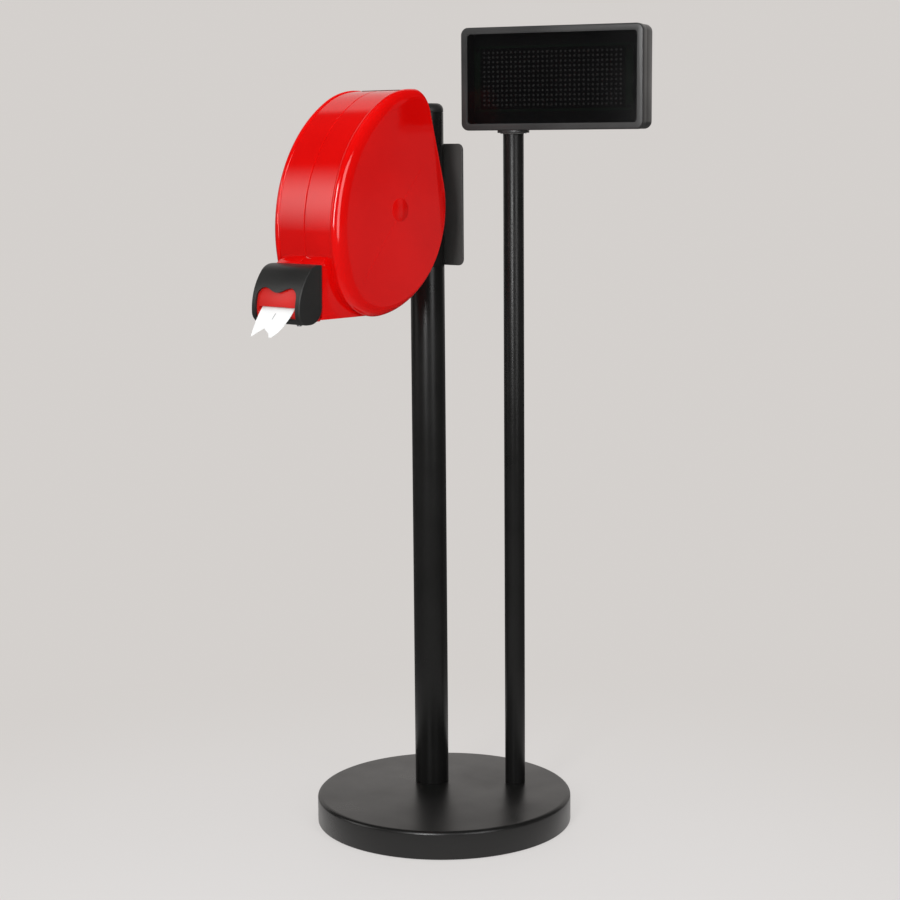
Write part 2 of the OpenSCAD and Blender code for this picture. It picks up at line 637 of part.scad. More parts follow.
module snout_hood() color(black) in_house() difference() {
    intersection() {
        across(-hood_half, hood_half) polygon(hood_points(0));
        hood_section(0);
    }
    intersection() {
        across(-hood_half + hood_wall, hood_half - hood_wall) polygon(hood_points(hood_wall));
        hood_section(hood_wall);
    }
    translate([0, -slot_u + 3, 0]) rotate([90, 0, 0]) linear_extrude(30) mouth_shape();
    for (sx = [-1, 1])
        rod_z(sx * hood_screw_x, hood_screw_u, hood_bottom - 1, hood_bottom + 5, small_screw_r + 0.25);
}
module hood_screws() color(steel) in_house() for (sx = [-1, 1]) {
    rod_z(sx * hood_screw_x, hood_screw_u, hood_bottom - 1.6, hood_bottom, small_screw_r * 1.9);
    rod_z(sx * hood_screw_x, hood_screw_u, hood_bottom - eps, block_front_bottom + 8, small_screw_r);
}

// Wedge of the curl between s0 before the slot and s1 after it, seen from the side.
function curl_angle(s) = 90 - curl_slope - s / curl_r * 180 / PI;
function curl_at(s, r) = curl_c + r * [cos(curl_angle(s)), sin(curl_angle(s))];
module curl_wedge(s0, s1) across(-ticket_w, ticket_w) polygon([
    curl_at(s0, curl_r - 20), curl_at(s0, curl_r + 20), curl_at((s0 + s1) / 2, curl_r + 20),
    curl_at(s1, curl_r + 20), curl_at(s1, curl_r - 20)]);
// The torn tail: a swallow notch, and the right side cut away in a curve.
tail_notch_x = -9;
tail_notch_s = 11;
tail_tip_x = 3;
tear_l = ticket_out * 0.85;
tear_w = ticket_w / 2 - tail_tip_x + 0.6;
module tail_cut() {
    tip = curl_at(ticket_out, curl_r);
    translate([0, -tip[0], tip[1]]) rotate([-curl_angle(ticket_out * 0.75), 0, 0])
        rotate([90, 0, 0]) translate([0, 0, -15]) linear_extrude(30) polygon(concat(
            [[-ticket_w / 2 - 1, -6], [-ticket_w / 2 - 1, -0.8], [tail_notch_x, tail_notch_s],
            [tail_tip_x - 2.5, 5], [tail_tip_x, 0]],
            [for (t = [0.1:0.1:1]) [tail_tip_x + tear_w * sin(90 * t), tear_l * pow(t, 1.6)]],
            [[ticket_w / 2 + 2, tear_l], [ticket_w / 2 + 2, -6]]));
}
module ticket_strip() color(paper) in_house() difference() {
    intersection() {
        ticket_band(-ticket_w / 2, ticket_w / 2, 0);
        curl_wedge(-ticket_in, ticket_out + 2);
    }
    tail_cut();
}

// The paper runs off the roll's underside, straight to the strip's inner end.
web_end = curl_at(-ticket_in - 0.3, curl_r);
web_from = [web_end[0] - hub_u, web_end[1] - hub_z];
web_len = sqrt(pow(norm(web_from), 2) - pow(roll_r, 2));
web_dir = atan2(web_from[1], web_from[0]) + asin(roll_r / norm(web_from));
module paper_web() color(paper) in_house() translate([0, -web_end[0], web_end[1]]) rotate([-web_dir, 0, 0])
    translate([-ticket_w / 2, 0, -ticket_t / 2 - slack]) cube([ticket_w, web_len, ticket_t]);

core_in_r = spindle_r + run;
core_r = core_in_r + core_wall;
module ticket_roll() color(paper) in_house() difference() {
    rod_x(-ticket_w / 2, ticket_w / 2, hub_u, hub_z, roll_r);
    rod_x(-ticket_w, ticket_w, hub_u, hub_z, core_r + fit / 2);
}
module roll_core() color([0.65, 0.55, 0.42]) in_house() difference() {
    rod_x(-ticket_w / 2 - 0.5, ticket_w / 2 + 0.5, hub_u, hub_z, core_r);
    rod_x(-ticket_w, ticket_w, hub_u, hub_z, core_in_r);
}

spindle_seat = -half_w + shell_wall + 4;
spindle_seat_r = 24;
spindle_screw_pcr = 19;
spindle_screw_angles = [30, 150, 270];
shoulder_x = -ticket_w / 2 - 1;
spindle_end = ticket_w / 2 + 1;
module spindle() color(black) in_house() difference() {
    union() {
        rod_x(spindle_seat, spindle_seat + 3, hub_u, hub_z, spindle_seat_r);
        rod_x(spindle_seat, shoulder_x, hub_u, hub_z, spindle_r + 3);
        rod_x(spindle_seat, spindle_end, hub_u, hub_z, spindle_r);
        rod_x(shoulder_x - 2.5, shoulder_x, hub_u, hub_z, spindle_seat_r);
    }
    for (a = spindle_screw_angles) rod_x(spindle_seat - 1, spindle_seat + 4,
        hub_u + spindle_screw_pcr * cos(a), hub_z + spindle_screw_pcr * sin(a), small_screw_r + 0.25);
    rod_x(spindle_end - 14, spindle_end + 1, hub_u, hub_z, 2 + fit);
}
module spindle_screws() color(steel) in_house() for (a = spindle_screw_angles) {
    u = hub_u + spindle_screw_pcr * cos(a);
    z = hub_z + spindle_screw_pcr * sin(a);
    rod_x(spindle_seat + 3, spindle_seat + 4.6, u, z, small_screw_r * 1.9);
    rod_x(spindle_seat - 3, spindle_seat + 3 + eps, u, z, small_screw_r);
}
retainer_t = 2.5;
module roll_retainer() color(black) in_house() difference() {
    rod_x(spindle_end, spindle_end + retainer_t, hub_u, hub_z, spindle_r + 8);
    rod_x(spindle_end - 1, spindle_end + retainer_t + 1, hub_u, hub_z, 2.2);
}
module retainer_screw() color(steel) in_house() {
    rod_x(spindle_end + retainer_t, spindle_end + retainer_t + 2.4, hub_u, hub_z, 3.8);
    rod_x(spindle_end - 12, spindle_end + retainer_t + eps, hub_u, hub_z, 2);
}

// ---- display, drawn facing -Y round its post's axis, then turned ----
disp_bottom = disp_top - disp_h;
disp_x0 = -disp_left;
disp_x1 = disp_w - disp_left;
disp_front = -disp_depth / 2;
module in_display() translate([mast_x, mast_y, 0]) rotate([0, 0, disp_turn]) children();
// Rounded rectangle of the display's face, inset by w, from depth y0 to y1 behind the front.
module face_plate(w, r, y0, y1) translate([0, disp_front + y1, 0]) rotate([90, 0, 0]) linear_extrude(y1 - y0)
    difference() {
        translate([disp_x0 + w, disp_bottom + w]) square([disp_w - 2 * w, disp_h - 2 * w]);
        for (sx = [0, 1], sz = [0, 1])
            translate([sx ? disp_x1 - w - r : disp_x0 + w + r, sz ? disp_top - w - r : disp_bottom + w + r])
                difference() {
                    translate([sx ? 0 : -r - 1, sz ? 0 : -r - 1]) square(r + 1);
                    circle(r);
                }
    }
window_back = window_recess + window_t;
module bezel() color(black) in_display() difference() {
    face_plate(0, disp_corner, 0, bezel_depth);
    face_plate(bezel_w, disp_corner - 5, -1, bezel_depth + 1);
    difference() {
        face_plate(disp_wall, disp_corner - disp_wall, window_recess, bezel_depth + 1);
        // Corner bosses for the frame's screws, behind the window.
        at_frame_corners() rod_y(window_back + fit, bezel_depth + 1, post_size);
    }
    at_frame_corners() rod_y(window_back + 1, bezel_depth + 1, small_screw_r + fit);
    at_frame_corners() rod_y(bezel_depth, bezel_depth + 2, post_size + 1);
}
module window() color([0.02, 0.02, 0.02]) in_display()
    face_plate(disp_wall + fit, disp_corner - disp_wall, window_recess, window_back);

led_w = (led_cols - 1) * led_pitch;
led_h = (led_rows - 1) * row_pitch;
led_centre = [(disp_x0 + disp_x1) / 2, (disp_top + disp_bottom) / 2];
mask_t = 3;
mask_margin = 5;
lamp_t = 0.9;
mask_front = window_back + lamp_t + 0.2;
module led_mask() color([0.03, 0.03, 0.03]) in_display()
    translate([led_centre[0] - led_w / 2 - mask_margin, disp_front + mask_front,
        led_centre[1] - led_h / 2 - mask_margin])
        cube([led_w + 2 * mask_margin, mask_t, led_h + 2 * mask_margin]);
// The lamps' lenses stand on one thin light guide strip per row, so that each row is one piece.
module led_lamps() color([0.25, 0.22, 0.2]) in_display() for (j = [0:led_rows - 1])
    translate([led_centre[0] - led_w / 2 - led_d / 2, disp_front + mask_front - lamp_t,
        led_centre[1] - led_h / 2 + j * led_h / (led_rows - 1) - led_d / 2])
        cube([led_w + led_d, lamp_t, led_d]);

board_t = 1.6;
board_front = mask_front + mask_t;
board_edge = 9;           // the board's width outside the mask at each side
board_half = [led_w / 2 + mask_margin + board_edge, led_h / 2 + mask_margin + 3];
board_hole_in = 4.5;      // the board's screws lie this far in from its edges
module at_board_corners() for (sx = [-1, 1], sz = [-1, 1])
    translate([led_centre[0] + sx * (board_half[0] - board_hole_in), disp_front,
        led_centre[1] + sz * (board_half[1] - board_hole_in)]) children();
// Cylinder from depth y0 to y1 behind the display's front.
module rod_y(y0, y1, r) translate([0, y1, 0]) rotate([90, 0, 0]) cylinder(r = r, h = y1 - y0);
module driver_board() color([0.05, 0.25, 0.1]) in_display() difference() {
    translate([led_centre[0] - board_half[0], disp_front + board_front, led_centre[1] - board_half[1]])
        cube([2 * board_half[0], board_t, 2 * board_half[1]]);
    at_board_corners() rod_y(board_front - 1, board_front + board_t + 1, small_screw_r + 0.2);
}
post_size = 3.5;
corner_in = 5.5;          // the frame's screws lie this far in from its edges
module at_frame_corners() for (x = [disp_x0 + corner_in, disp_x1 - corner_in],
    z = [disp_bottom + corner_in, disp_top - corner_in]) translate([x, disp_front, z]) children();
module rear_housing() color(black) in_display() difference() {
    union() {
        difference() {
            face_plate(0.4, disp_corner, bezel_depth + seam_gap, disp_depth);
            face_plate(disp_wall + 0.4, disp_corner - disp_wall, bezel_depth, disp_depth - disp_wall);
        }
        // Pillars for the board, and round the frame's screws.
        at_board_corners() rod_y(board_front + board_t, disp_depth - disp_wall / 2, post_size);
        at_frame_corners() rod_y(bezel_depth + seam_gap, disp_depth - disp_wall / 2, post_size);
    }
    at_board_corners() rod_y(board_front + board_t - 1, board_front + board_t + 10, small_screw_r + fit);
    at_frame_corners() {
        rod_y(bezel_depth, disp_depth + 1, small_screw_r + 0.25);
        rod_y(disp_depth - screw_head_t, disp_depth + 1, small_screw_r * 1.9 + fit);
    }
    // Way for the leads through the spigot, the flange's screws and the inlet.
    translate([0, 0, disp_bottom - 1]) cylinder(r = lead_r, h = 6);
    at_flange_screws() translate([0, 0, disp_bottom - 1]) cylinder(r = 1 + fit, h = 6);
    translate([inlet_x, disp_front, inlet_h]) rod_y(disp_depth - 5, disp_depth + 1, inlet_r + fit);
}
screw_head_t = 1.4;
module board_screws() color(steel) in_display() at_board_corners() {
    rod_y(board_front - 1.2, board_front, small_screw_r * 1.9);
    rod_y(board_front - eps, board_front + 9, small_screw_r);
}
module housing_screws() color(steel) in_display() at_frame_corners() {
    rod_y(disp_depth - screw_head_t, disp_depth, small_screw_r * 1.9);
    rod_y(window_back + 3, disp_depth - screw_head_t + eps, small_screw_r);
}

inlet_r = 5.8;
inlet_x = disp_x0 + 40;
inlet_h = disp_bottom + 26;
module dc_inlet() color([0.1, 0.1, 0.1]) in_display()
    translate([inlet_x, disp_front + disp_depth, inlet_h]) rotate([90, 0, 0]) difference() {
        union() {
            translate([0, 0, -1.5]) cylinder(r = inlet_r + 1.6, h = 1.5);
            translate([0, 0, -eps]) cylinder(r = inlet_r, h = 12);
        }
        translate([0, 0, -2]) cylinder(r = 3.1, h = 11);
    }

// ---- the display's turning seat in the top of its post ----
bush_r = mast_in_r - fit / 2;
spigot_r = bush_r - bush_t - run;
lead_r = 5;
flange_screw_r = flange_d / 2 - 4.5;
module at_flange_screws() for (a = [0, 180])
    rotate([0, 0, a]) translate([flange_screw_r, 0, 0]) children();
module swivel_flange() color(black) in_display() difference() {
    union() {
        translate([0, 0, disp_bottom - flange_t]) intersection() {
            cylinder(r = flange_d / 2, h = flange_t);
            translate([-flange_d / 2, -disp_depth / 2 + 2, 0]) cube([flange_d, disp_depth - 4, flange_t]);
        }
        translate([0, 0, disp_bottom - flange_t - spigot_l]) cylinder(r = spigot_r, h = spigot_l + eps);
    }
    translate([0, 0, disp_bottom - flange_t - spigot_l - 1])
        cylinder(r = lead_r, h = spigot_l + flange_t + 2);
    at_flange_screws() translate([0, 0, disp_bottom - flange_t - 1]) cylinder(r = 1.2, h = flange_t + 2);
}
module flange_screws() color(steel) in_display() at_flange_screws() {
    translate([0, 0, disp_bottom - flange_t - 1]) cylinder(r = 1.9, h = 1);
    translate([0, 0, disp_bottom - flange_t - eps]) cylinder(r = 1, h = flange_t + disp_wall);
}
module swivel_bush() color([0.2, 0.2, 0.2]) translate([mast_x, mast_y, 0]) {
    tube(bush_r, spigot_r + run, mast_top - spigot_l, mast_top + eps);
    tube(mast_r, spigot_r + run, mast_top, mast_top + collar_t);
}

floor_pad();
base_weight();
base_cover();
main_post();
post_cap();
main_foot_plug();
display_post();
display_foot_plug();
foot_bolts();
foot_washers();
rear_plate();
saddle();
mount_bolts();
mount_washers();
mount_inserts();
left_shell();
right_cover();
hinge_pin();
outlet_block();
snout_hood();
hood_screws();
block_screws();
paper_web();
ticket_strip();
ticket_roll();
roll_core();
spindle();
spindle_screws();
roll_retainer();
retainer_screw();
latch_bar();
latch_spring();
bezel();
window();
led_mask();
led_lamps();
driver_board();
board_screws();
rear_housing();
housing_screws();
dc_inlet();
swivel_flange();
flange_screws();
swivel_bush();
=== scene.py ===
"""Take-a-number dispenser with a counter display on a floor stand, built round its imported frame."""
from math import ceil, cos, pi, radians, sin

import bmesh
import bpy
from mathutils import Matrix, Vector


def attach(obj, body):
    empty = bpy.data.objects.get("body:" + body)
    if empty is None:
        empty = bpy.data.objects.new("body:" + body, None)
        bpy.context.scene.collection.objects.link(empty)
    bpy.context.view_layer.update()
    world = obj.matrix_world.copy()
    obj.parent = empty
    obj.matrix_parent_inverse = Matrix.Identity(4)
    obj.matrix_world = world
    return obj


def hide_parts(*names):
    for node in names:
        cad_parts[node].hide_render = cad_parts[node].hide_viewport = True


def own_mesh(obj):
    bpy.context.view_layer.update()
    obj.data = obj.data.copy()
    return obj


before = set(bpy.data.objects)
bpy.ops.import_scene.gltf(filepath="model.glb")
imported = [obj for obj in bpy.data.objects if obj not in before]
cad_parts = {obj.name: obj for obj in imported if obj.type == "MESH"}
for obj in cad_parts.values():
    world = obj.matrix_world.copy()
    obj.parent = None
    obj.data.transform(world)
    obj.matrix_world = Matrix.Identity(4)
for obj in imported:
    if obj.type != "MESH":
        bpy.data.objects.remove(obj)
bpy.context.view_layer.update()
scene = bpy.context.scene
scene.view_settings.view_transform = "Standard"

# ---- Camera ----
# Stands a little below the top of the housing and looks slightly down on the stand,
# from the ticket's side, with a long lens.
camera_place, camera_turn, camera_tilt, camera_roll = (1.6491, -1.8156, 0.8468), 42, 8.70, -0.44
lens = bpy.data.cameras.new("studio_camera")
lens.lens, lens.sensor_width, lens.clip_end = 80.25, 36, 80
camera = bpy.data.objects.new("studio_camera", lens)
camera.matrix_world = (Matrix.Translation(camera_place) @ Matrix.Rotation(radians(camera_turn), 4, "Z")
                       @ Matrix.Rotation(radians(90 - camera_tilt), 4, "X")
                       @ Matrix.Rotation(radians(camera_roll), 4, "Z"))
scene.collection.objects.link(camera)
scene.camera = camera


# ---- Studio ----
# A wide pale floor that runs into a backdrop of the same tone, under large soft lamps.
# What the camera and the reflections see of it is partly its own flat tone.
class Wire:
    """One output of a node. Sums and products of wires become Math nodes."""

    def __init__(self, nodes, socket):
        self.nodes, self.socket = nodes, socket

    def math(self, operation, first, second):
        return self.nodes.node("Math", {"operation": operation}, {0: first, 1: second})

    def __add__(self, other):
        return self.math("ADD", self, other)

    def __sub__(self, other):
        return self.math("SUBTRACT", self, other)

    def __rsub__(self, other):
        return self.math("SUBTRACT", other, self)

    def __mul__(self, other):
        return self.math("MULTIPLY", self, other)

    __radd__, __rmul__ = __add__, __mul__


class Nodes:
    """A node tree that is written one node at a time."""

    def __init__(self, tree):
        self.tree = tree

    def fill(self, node, inputs):
        for key, value in inputs.items():
            if isinstance(value, Wire):
                self.tree.links.new(value.socket, node.inputs[key])
            else:
                node.inputs[key].default_value = value

    def node(self, kind, settings=None, inputs=None, out=0):
        made = self.tree.nodes.new("ShaderNode" + kind)
        for key, value in (settings or {}).items():
            setattr(made, key, value)
        self.fill(made, inputs or {})
        return Wire(self, made.outputs[out])


def seen(nodes):
    """1 for rays from the camera and for reflected and transmitted ones, 0 for those that light."""
    path = nodes.node("LightPath", out="Is Camera Ray")
    rays = path + Wire(nodes, path.socket.node.outputs["Is Glossy Ray"])
    rays = rays + Wire(nodes, path.socket.node.outputs["Is Transmission Ray"])
    return nodes.node("Clamp", {}, {"Value": rays})


# Tones of the backdrop, of the floor near the stand, painted lighter there as a pool of light,
# of the dark room beside and above it, and of the floor in reflections. AWAY is the way that the camera
# looks.
WALL = (0.660, 0.633, 0.612, 1)
PAINTED_LIT_FLOOR = (0.79, 0.768, 0.757, 1)
DARK = (0.045, 0.044, 0.043, 1)
DIM = (0.12, 0.117, 0.114, 1)
AWAY = (-0.669, 0.743, 0)
fill_strength, glow_strength, glow_centre, glow_reach = 0.05, 72, (-0.63, -0.70, 0.27), 0.36
world = bpy.data.worlds.new("studio_room")
world.use_nodes = True
world.node_tree.nodes.clear()
room = Nodes(world.node_tree)
sky = room.node("TexCoord", out="Generated")
# The camera sees the backdrop all round. Reflections see it behind the stand only, with a dark
# room beside it, before it and above it.
behind = room.node("VectorMath", {"operation": "DOT_PRODUCT"}, {0: sky, 1: AWAY}, out=1)
behind = room.node("MapRange", {"interpolation_type": "SMOOTHSTEP"},
                   {"Value": behind, "From Min": 0.59, "From Max": 0.66})
height = room.node("SeparateXYZ", {}, {0: sky}, out=2)
below = room.node("MapRange", {"interpolation_type": "SMOOTHSTEP"},
                  {"Value": height, "From Min": 0.74, "From Max": 0.80, "To Min": 1, "To Max": 0})
direct = room.node("LightPath", out="Is Camera Ray")
shows = room.node("Math", {"operation": "MAXIMUM"}, {0: direct, 1: behind * below})
# A soft glow, as of a window, stands low on the left. It gives the band its highlight.
glow = room.node("VectorMath", {"operation": "MULTIPLY"}, {0: sky, 1: (1, 1, 0.85)})
glow = room.node("VectorMath", {"operation": "DISTANCE"}, {0: glow, 1: glow_centre}, out=1)
glow = room.node("MapRange", {"interpolation_type": "SMOOTHSTEP"},
                 {"Value": glow, "From Min": 0.0, "From Max": glow_reach, "To Min": 1, "To Max": 0})
tone = room.node("Mix", {"data_type": "RGBA"}, {0: shows, 6: DARK, 7: WALL}, out=2)
fill_light = room.node("Background", {}, {"Color": (0.97, 0.98, 1, 1), "Strength": fill_strength})
backdrop = room.node("Background", {}, {"Color": tone, "Strength": glow * glow_strength + 1.0})
mixed = room.node("MixShader", {}, {0: seen(room), 1: fill_light, 2: backdrop})
room.fill(room.tree.nodes.new("ShaderNodeOutputWorld"), {"Surface": mixed})
scene.world = world

ground = bmesh.new()
bmesh.ops.create_circle(ground, cap_ends=True, segments=96, radius=30)
ground_mesh = bpy.data.meshes.new("studio_floor")
ground.to_mesh(ground_mesh)
ground.free()
floor = bpy.data.objects.new("studio_floor", ground_mesh)
scene.collection.objects.link(floor)
paint = bpy.data.materials.new("studio_floor")
paint.use_nodes = True
paint.node_tree.nodes.clear()
tones = Nodes(paint.node_tree)
# The floor's flat tone is painted lighter round a point before the stand and fades to the backdrop's tone: a
# painted pool of light.
away = tones.node("VectorMath", {"operation": "DISTANCE"},
                  {0: tones.node("TexCoord", out="Object"), 1: (0.35, -0.39, 0)}, out=1)
reach = tones.node("MapRange", {"interpolation_type": "SMOOTHSTEP"},
                   {"Value": away, "From Min": 0.15, "From Max": 1.25})
tone = tones.node("Mix", {"data_type": "RGBA"}, {0: reach, 6: PAINTED_LIT_FLOOR, 7: WALL}, out=2)
# Reflections see the floor dimmed away from the base.
round_base = tones.node("VectorMath", {"operation": "LENGTH"},
                        {0: tones.node("TexCoord", out="Object")}, out=1)
far = tones.node("MapRange", {"interpolation_type": "SMOOTHSTEP"},
                 {"Value": round_base, "From Min": 0.14, "From Max": 0.55})
mirror = tones.node("LightPath", out="Is Glossy Ray")
tone = tones.node("Mix", {"data_type": "RGBA"}, {0: far * mirror, 6: tone, 7: DIM}, out=2)
lit = tones.node("BsdfDiffuse", {}, {"Color": (0.70, 0.685, 0.672, 1)})
flat = tones.node("Emission", {}, {"Color": tone, "Strength": 1.0})
share = seen(tones) * (reach * 0.38 + 0.62)
tones.fill(tones.tree.nodes.new("ShaderNodeOutputMaterial"),
           {"Surface": tones.node("MixShader", {}, {0: share, 1: lit, 2: flat})})
ground_mesh.materials.append(paint)


def softbox(name, place, aim, size, watts, mirrored=True):
    """A rectangular lamp at place that faces aim. Reflections show it only if it is mirrored."""
    lamp = bpy.data.lights.new(name, "AREA")
    lamp.shape, lamp.size, lamp.size_y = "RECTANGLE", size[0], size[1]
    lamp.energy = watts
    fixture = bpy.data.objects.new(name, lamp)
    facing = (Vector(aim) - Vector(place)).to_track_quat("-Z", "Y").to_matrix().to_4x4()
    fixture.matrix_world = Matrix.Translation(place) @ facing
    fixture.visible_glossy = mirrored
    scene.collection.objects.link(fixture)


softbox("lamp_key", (1.10, -2.46, 1.50), (0, 0, 0.78), (0.45, 1.40), 46)
softbox("lamp_left", (-1.85, -1.95, 1.05), (0, 0, 0.8), (1.2, 1.2), 6, mirrored=False)
softbox("lamp_fill", (2.1, -2.0, 1.2), (0, 0, 0.75), (1.8, 1.8), 8, mirrored=False)
softbox("lamp_overhead", (0.1, 0.0, 2.9), (0, 0, 0.8), (1.4, 1.4), 16, mirrored=False)
softbox("lamp_ceiling", (0.2, -0.2, 2.8), (0, 0, 0.2), (2.4, 2.4), 22, mirrored=False)
softbox("lamp_back", (-1.6, 2.0, 1.5), (0, 0, 0.7), (1.8, 1.8), 14, mirrored=False)
softbox("lamp_right", (2.6, -0.75, 1.35), (0, 0, 0.75), (0.9, 1.7), 20)
softbox("panel_far", (2.15, 2.45, 0.9), (0, 0, 0.8), (0.40, 1.8), 0.4)
softbox("panel_near", (2.15, 1.86, 0.9), (0, 0, 0.8), (0.42, 1.8), 0.3)


# ---- Base ----
# A round sheet-steel cover, spun from one disc and powder coated, hides a cast iron weight.
# A rubber pad under the weight keeps the stand off the floor.
MM = 0.001
base_r, base_h, base_edge, base_wall, rim_gap = 160, 35.5, 5, 2, 1


class Finish(Nodes):
    """A procedural material on a Principled shader."""

    def __init__(self, name, **shader):
        self.material = bpy.data.materials.new(name)
        self.material.use_nodes = True
        super().__init__(self.material.node_tree)
        self.shader = self.tree.nodes["Principled BSDF"]
        self.fill(self.shader, {key.replace("_", " "): value for key, value in shader.items()})

    def noise(self, scale, detail=2.0):
        place = self.node("TexCoord", out="Object")
        return self.node("TexNoise", {}, {"Vector": place, "Scale": scale, "Detail": detail})

    def colours(self, factor, low, high):
        return self.node("Mix", {"data_type": "RGBA"}, {0: factor, 6: (*low, 1), 7: (*high, 1)}, out=2)

    def between(self, value, low, high, to_low=0.0, to_high=1.0):
        return self.node("MapRange", {}, {"Value": value, "From Min": low, "From Max": high,
                                          "To Min": to_low, "To Max": to_high})

    def bump(self, height, depth):
        return self.node("Bump", {}, {"Height": height, "Distance": depth * MM, "Strength": 1.0})

    def dress(self, colour=None, rough=None, normal=None):
        for key, value in (("Base Color", colour), ("Roughness", rough), ("Normal", normal)):
            if value is not None:
                self.fill(self.shader, {key: value})
        return self


def coated(name, dark, light, rough, pebble=900, depth=0.05, **shader):
    """Powder coat or grained plastic: a fine pebbled skin with faint cloudy wear and handling marks."""
    skin = Finish(name, **shader)
    cloud, grain = skin.noise(14, 4), skin.noise(pebble, 2)
    tint = skin.colours(skin.between(cloud * 0.6 + grain * 0.4, 0.35, 0.65), dark, light)
    return skin.dress(tint, skin.between(cloud, 0.3, 0.7, rough - 0.05, rough + 0.06),
                      skin.bump(grain, depth))


powder_black = coated("powder_coat_black", (0.0070, 0.0070, 0.0067), (0.0105, 0.0103, 0.0100), 0.31,
                      Specular_IOR_Level=0.26)
base_powder = coated("base_powder_black", (0.0050, 0.0049, 0.0047), (0.0078, 0.0076, 0.0074), 0.31,
                     Specular_IOR_Level=0.50)
cast_iron = coated("cast_iron", (0.05, 0.05, 0.052), (0.12, 0.115, 0.11), 0.7, 260, 0.4, Metallic=0.6)
rubber = coated("pad_rubber", (0.012, 0.012, 0.012), (0.03, 0.03, 0.03), 0.8, 500, 0.2)


def lathe(outline, steps):
    """Turns a (radius, height) outline from axis to axis, or a closed one, about the vertical."""
    bm = bmesh.new()
    dots = [bm.verts.new((r, 0, z)) for r, z in outline]
    wires = [bm.edges.new(pair) for pair in zip(dots, dots[1:])]
    if outline[0][0] > 0:
        wires.append(bm.edges.new((dots[-1], dots[0])))
    bmesh.ops.spin(bm, geom=dots + wires, cent=(0, 0, 0), axis=(0, 0, 1), angle=2 * pi, steps=steps,
                   use_merge=True)
    bmesh.ops.remove_doubles(bm, verts=bm.verts, dist=1e-3)
    bmesh.ops.recalc_face_normals(bm, faces=bm.faces)
    return bm


def soften(bm, radius, segments=3, where=lambda edge: True, angle=30):
    """Rounds the edges that are sharper than angle and lie where the test says."""
    sharp = [e for e in bm.edges if e.is_manifold and e.calc_face_angle(0) > radians(angle) and where(e)]
    bmesh.ops.bevel(bm, geom=sharp, offset=radius, offset_type="OFFSET", segments=segments, profile=0.5,
                    affect="EDGES", material=-1, clamp_overlap=True)


def piece(name, bm, finish, body, slot, *nodes, place=Matrix(), angle=32):
    """Makes a bmesh in millimetres a smooth-shaded piece in its place, on its body and for its nodes."""
    bmesh.ops.transform(bm, matrix=place @ Matrix.Scale(MM, 4), verts=bm.verts)
    mesh = bpy.data.meshes.new(name)
    bm.to_mesh(mesh)
    bm.free()
    mesh.materials.append(finish.material)
    mesh.shade_smooth()
    mesh.set_sharp_from_angle(angle=radians(angle))
    made = bpy.data.objects.new(name, mesh)
    scene.collection.objects.link(made)
    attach(made, body)
    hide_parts(*nodes)
    return made


def refined(node, finish, body, slot, edge=0.2):
    """A merged copy of a CAD node with its flat faces joined, its edges broken and its curves smooth."""
    bm = bmesh.new()
    bm.from_mesh(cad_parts[node].data)
    bmesh.ops.scale(bm, vec=(1 / MM, 1 / MM, 1 / MM), verts=bm.verts)
    bmesh.ops.remove_doubles(bm, verts=bm.verts, dist=1e-3)
    bmesh.ops.dissolve_limit(bm, angle_limit=radians(0.5), verts=bm.verts, edges=bm.edges)
    if edge:
        soften(bm, edge, 2, angle=40)
    return piece(node + "_finished", bm, finish, body, slot, node, angle=30)


def at_rim(top, radius):
    """A test for the edges that run round the outer rim of a turned piece's top."""
    return lambda e: all(v.co.z > top - 0.1 and v.co.xy.length > radius - 1 for v in e.verts)


cover = lathe([(0, base_h), (base_r, base_h), (base_r, rim_gap), (base_r - base_wall, rim_gap),
               (base_r - base_wall, base_h - base_wall), (0, base_h - base_wall)], 160)
soften(cover, base_edge, 8, at_rim(base_h, base_r))
soften(cover, 0.5, 2, lambda e: all(v.co.z < rim_gap + 0.1 for v in e.verts))
piece("base_cover_spun", cover, base_powder, "stand", "base_black", "base_cover")
refined("base_weight", cast_iron, "stand", "iron_weight", 0.8)
refined("floor_pad", rubber, "stand", "pad_rubber", 0.4)

# ---- Foot fixings ----
# A threaded steel plug sits in the foot of each post. One bolt with a washer, put in from
# below, holds each post to the base. All of them are zinc plated.
zinc = Finish("zinc_plate", Metallic=1.0)
zinc.dress(zinc.colours(zinc.noise(60, 3), (0.50, 0.50, 0.52), (0.68, 0.68, 0.70)),
           zinc.between(zinc.noise(200, 3), 0.3, 0.7, 0.24, 0.40), zinc.bump(zinc.noise(1500), 0.02))
for node in ("main_foot_plug", "display_foot_plug", "foot_bolts", "foot_washers"):
    refined(node, zinc, "stand", "zinc_steel")

# ---- Main post ----
# A steel tube, cut to length and powder coated, stands on its plug in the base. A moulded
# plastic cap with a large rounded edge is pushed into its top.
post_x, post_y, post_r, post_wall = -39, 20, 21.2, 2
cap_bottom, cap_top, cap_edge, cap_spigot = 884, 895, 8, 18
HOUSE = Matrix.Translation((post_x * MM, post_y * MM, 0))
tube = lathe([(post_r, base_h), (post_r, cap_bottom), (post_r - post_wall, cap_bottom),
              (post_r - post_wall, base_h)], 64)
soften(tube, 0.4, 2)
piece("main_post_tube", tube, powder_black, "stand", "post_black", "main_post", place=HOUSE)
cap_black = coated("cap_plastic", (0.018, 0.018, 0.018), (0.024, 0.024, 0.0235), 0.42, 1200, 0.03,
                   Specular_IOR_Level=0.4)
inner = post_r - post_wall - 0.05
cap = lathe([(0, cap_top), (post_r, cap_top), (post_r, cap_bottom + 0.2), (inner, cap_bottom + 0.2),
             (inner, cap_bottom - cap_spigot), (inner - 2, cap_bottom - cap_spigot),
             (inner - 2, cap_bottom + 2), (0, cap_bottom + 2)], 64)
soften(cap, cap_edge, 8, at_rim(cap_top, post_r))
soften(cap, 0.4, 2, lambda e: all(v.co.z < cap_bottom + 1 for v in e.verts))
piece("post_cap_moulded", cap, cap_black, "stand", "cap_black", "post_cap", place=HOUSE)

